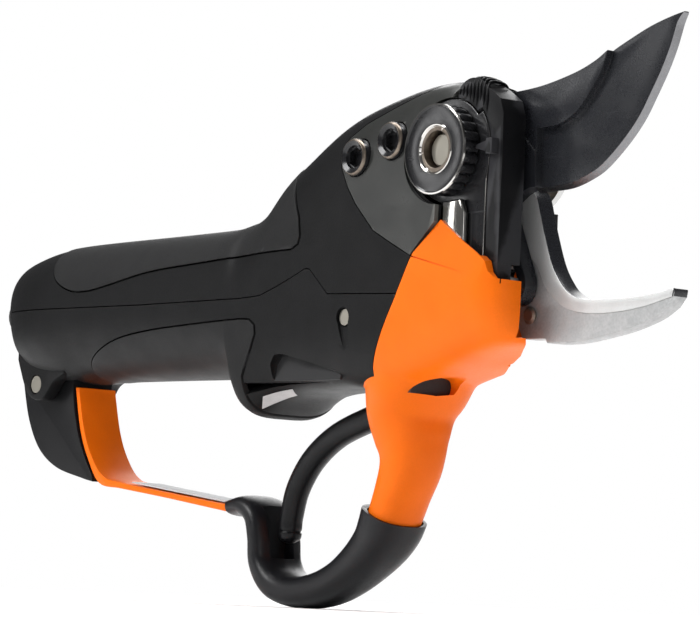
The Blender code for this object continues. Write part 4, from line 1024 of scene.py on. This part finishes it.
def latch():
    """Nut latch: ribbed thumb tab over a column that hangs inside the cover."""
    column = (
        arc(0, 0, 14.1, 80, 44, 16) + arc(0, 0, LOBE_R + 0.3, 42, -14, 24)
        + [(15.0, -12), (15.3, -30.3), (20.0, -30.3), (20.2, -16.5), (20.4, -4), (20.2, 8.5), (18.8, 12.4),
           (15.6, 14.6)]
        + smooth_path((
            (13.2, 16.2), (11.6, 17.6), (9.4, 18.5), (6.8, 18.6), (4.2, 17.6), (2.4, 15.9),
        ), 4)
    )
    body = prism("latch", column, -15.2, -7.5)
    combine(body, [
        prism("tooth", (
            (17.4, 1.6), (15.6, 1.2), (12.4, 0.4), (12.4, -0.4), (15.6, -1.2), (17.4, -1.6),
        ), -17.4, -15.7),
        prism("root", ((18.6, 2.0), (16.3, 2.0), (16.3, -2.0), (18.6, -2.0)), -17.4, -14.2),
        prism("foot", ((15.3, -29.8), (15.3, -34.9), (19.8, -34.9), (20.0, -29.8)), -15.2, -10.4),
        prism("eye", [(14.6, -34.6), (19.8, -34.6)] + arc(17.0, -38.5, 3.0, 20, -200, 16), -15.2, -10.4),
    ], "UNION")
    combine(body, [rod("bore", 1.8, (17.0, 0, -38.5), (0, 1, 0), -30, 0, 32)], "DIFFERENCE")
    soften(body, 0.7, 4, 40)
    finish(body, "latch_lever", latch_black, "latch_body", "latch")
    for i in range(9):
        x = 2.9 + 1.35 * i
        top = 15.9 + 2.75 * math.sin(math.pi * (i + 0.9) / 10.5)
        foot = math.sqrt((14.1 if x < 10 else 16.0) ** 2 - x ** 2) + 0.8
        path = smooth_path((
            (x, foot, -15.2), (x + 0.1, (foot + top) / 2, -15.3), (x + 0.2, top - 0.5, -14.7),
            (x + 0.2, top + 0.1, -13.4), (x + 0.1, top + 0.15, -11.5), (x, top - 0.1, -9.4),
            (x, top - 1.0, -7.8),
        ), 5)
        rib(path, 0.42, "tab_rib_%d" % (i + 1))


def rib(path, radius, name):
    """Round bead along a path of x, z, y points, fading at both ends."""
    rings = []
    for i, (x, z, y) in enumerate(path):
        before = path[max(i - 1, 0)]
        after = path[min(i + 1, len(path) - 1)]
        along = Vector((after[0] - before[0], after[2] - before[2], after[1] - before[1])).normalized()
        side = along.cross(Vector((1, 0, 0))).normalized()
        fade = radius * min(1.0, 0.25 + i / 5, 0.25 + (len(path) - 1 - i) / 5)
        ring = []
        for k in range(10):
            a = 2 * math.pi * k / 10
            off = Vector((math.cos(a), 0, 0)) * fade + side * math.sin(a) * fade
            ring.append(point(x + off.x, y + off.y, z + off.z))
        rings.append(ring)
    bead = new_object("bead", rings_to_bmesh(rings))
    finish(bead, name, latch_black, "latch_body", sharp=60)


LABEL_AT = (-81.0, -12.5, -64.6)
LABEL_LENGTH = 10.5
LABEL_LEAN = 3.6
LABEL_WIDTH = 0.0042


def labels():
    """Blank label laid on the slanted lower edge of the bulge; its width is in metres."""
    shell = bpy.data.objects["lower_shell"]
    bpy.context.view_layer.update()
    inward = Vector((0, 0.72, 0.69)).normalized()
    across = Vector((0, -0.69, 0.72)).normalized()
    bm = bmesh.new()
    rows = []
    for i in range(9):
        row = []
        for j in range(5):
            x = LABEL_AT[0] + LABEL_LENGTH * i / 8 + LABEL_LEAN * j / 4
            start = point(x, *LABEL_AT[1:]) + across * LABEL_WIDTH * (j / 4 - 0.5)
            hit, place, _, _ = shell.ray_cast(start - inward * 0.02, inward)
            row.append(bm.verts.new((place if hit else start) - inward * 0.00015))
        rows.append(row)
    for low, high in zip(rows, rows[1:]):
        for a in range(4):
            bm.faces.new((low[a], low[a + 1], high[a + 1], high[a]))
    finish(new_object("label", bm), "blank_label", label_grey, "frame_body")


upper_casing()
lower_casing()
grips()
side_plates()
front_cover()
guard()
trigger()
blade()
hook()
pivot()
head_screws()
latch()
labels()

# ------------------------------------------------------------------------------------------ light, camera


def area_light(name, place, aim, size, power):
    """White rectangular lamp at a place in metres, turned to its aim."""
    data = bpy.data.lights.new(name, "AREA")
    data.shape = "RECTANGLE"
    data.size, data.size_y = size
    data.energy = power
    lamp = bpy.data.objects.new(name, data)
    lamp.location = place
    lamp.rotation_euler = (Vector(aim) - Vector(place)).to_track_quat("-Z", "Y").to_euler()
    scene.collection.objects.link(lamp)


def studio():
    """White room, pale floor, large key on the left, weak fill on the right and a strip overhead."""
    world = bpy.data.worlds.new("studio")
    world.use_nodes = True
    tree = world.node_tree
    back = tree.nodes["Background"]
    ray = node(tree, "ShaderNodeLightPath")
    strength = ramp(tree, ray.outputs["Is Camera Ray"], 0, 1, FILL_STRENGTH, 1.0)
    tree.links.new(strength, back.inputs["Strength"])
    back.inputs["Color"].default_value = (1, 1, 1, 1)
    scene.world = world
    floor_mesh = bpy.data.meshes.new("floor")
    bm = bmesh.new()
    bmesh.ops.create_grid(bm, x_segments=2, y_segments=2, size=FLOOR_HALF)
    bm.to_mesh(floor_mesh)
    bm.free()
    floor = bpy.data.objects.new("floor", floor_mesh)
    paper = surface("floor_paper", (0.86, 0.86, 0.86), 0.8, mottle=0.01, grain_depth=0.0)
    floor_mesh.materials.append(paper)
    scene.collection.objects.link(floor)
    area_light("key", (-0.35, -1.05, 0.95), (0, 0, 0.08), (0.8, 0.6), 17)
    area_light("panel", (-0.78, -0.72, 0.28), (0.05, 0, 0.11), (0.14, 0.5), 0.8)
    area_light("side", (1.1, -0.5, 0.35), (0, 0, 0.07), (0.25, 0.6), 0.9)
    area_light("top", (-0.05, 0.1, 1.1), (0, 0, 0.1), (1.1, 0.45), 15)
    area_light("back", (-0.6, 0.7, 0.5), (0, 0, 0.1), (0.6, 0.8), 5)


def camera():
    """Low view from the front right, looking slightly up."""
    lens = bpy.data.cameras.new("camera")
    lens.lens = 178.25
    lens.sensor_width = 36.0
    view = bpy.data.objects.new("camera", lens)
    right = Vector((0.63457539, 0.77178924, 0.04068722))
    up = Vector((0.03709856, -0.08300265, 0.99585855))
    back = Vector((0.77197006, -0.63043789, -0.08130371))
    turn = Matrix((right, up, back)).transposed().to_4x4()
    view.matrix_world = Matrix.Translation(point(679.418, -601.670, -116.027)) @ turn
    scene.collection.objects.link(view)
    scene.camera = view


studio()
camera()
scene.view_settings.view_transform = "Standard"
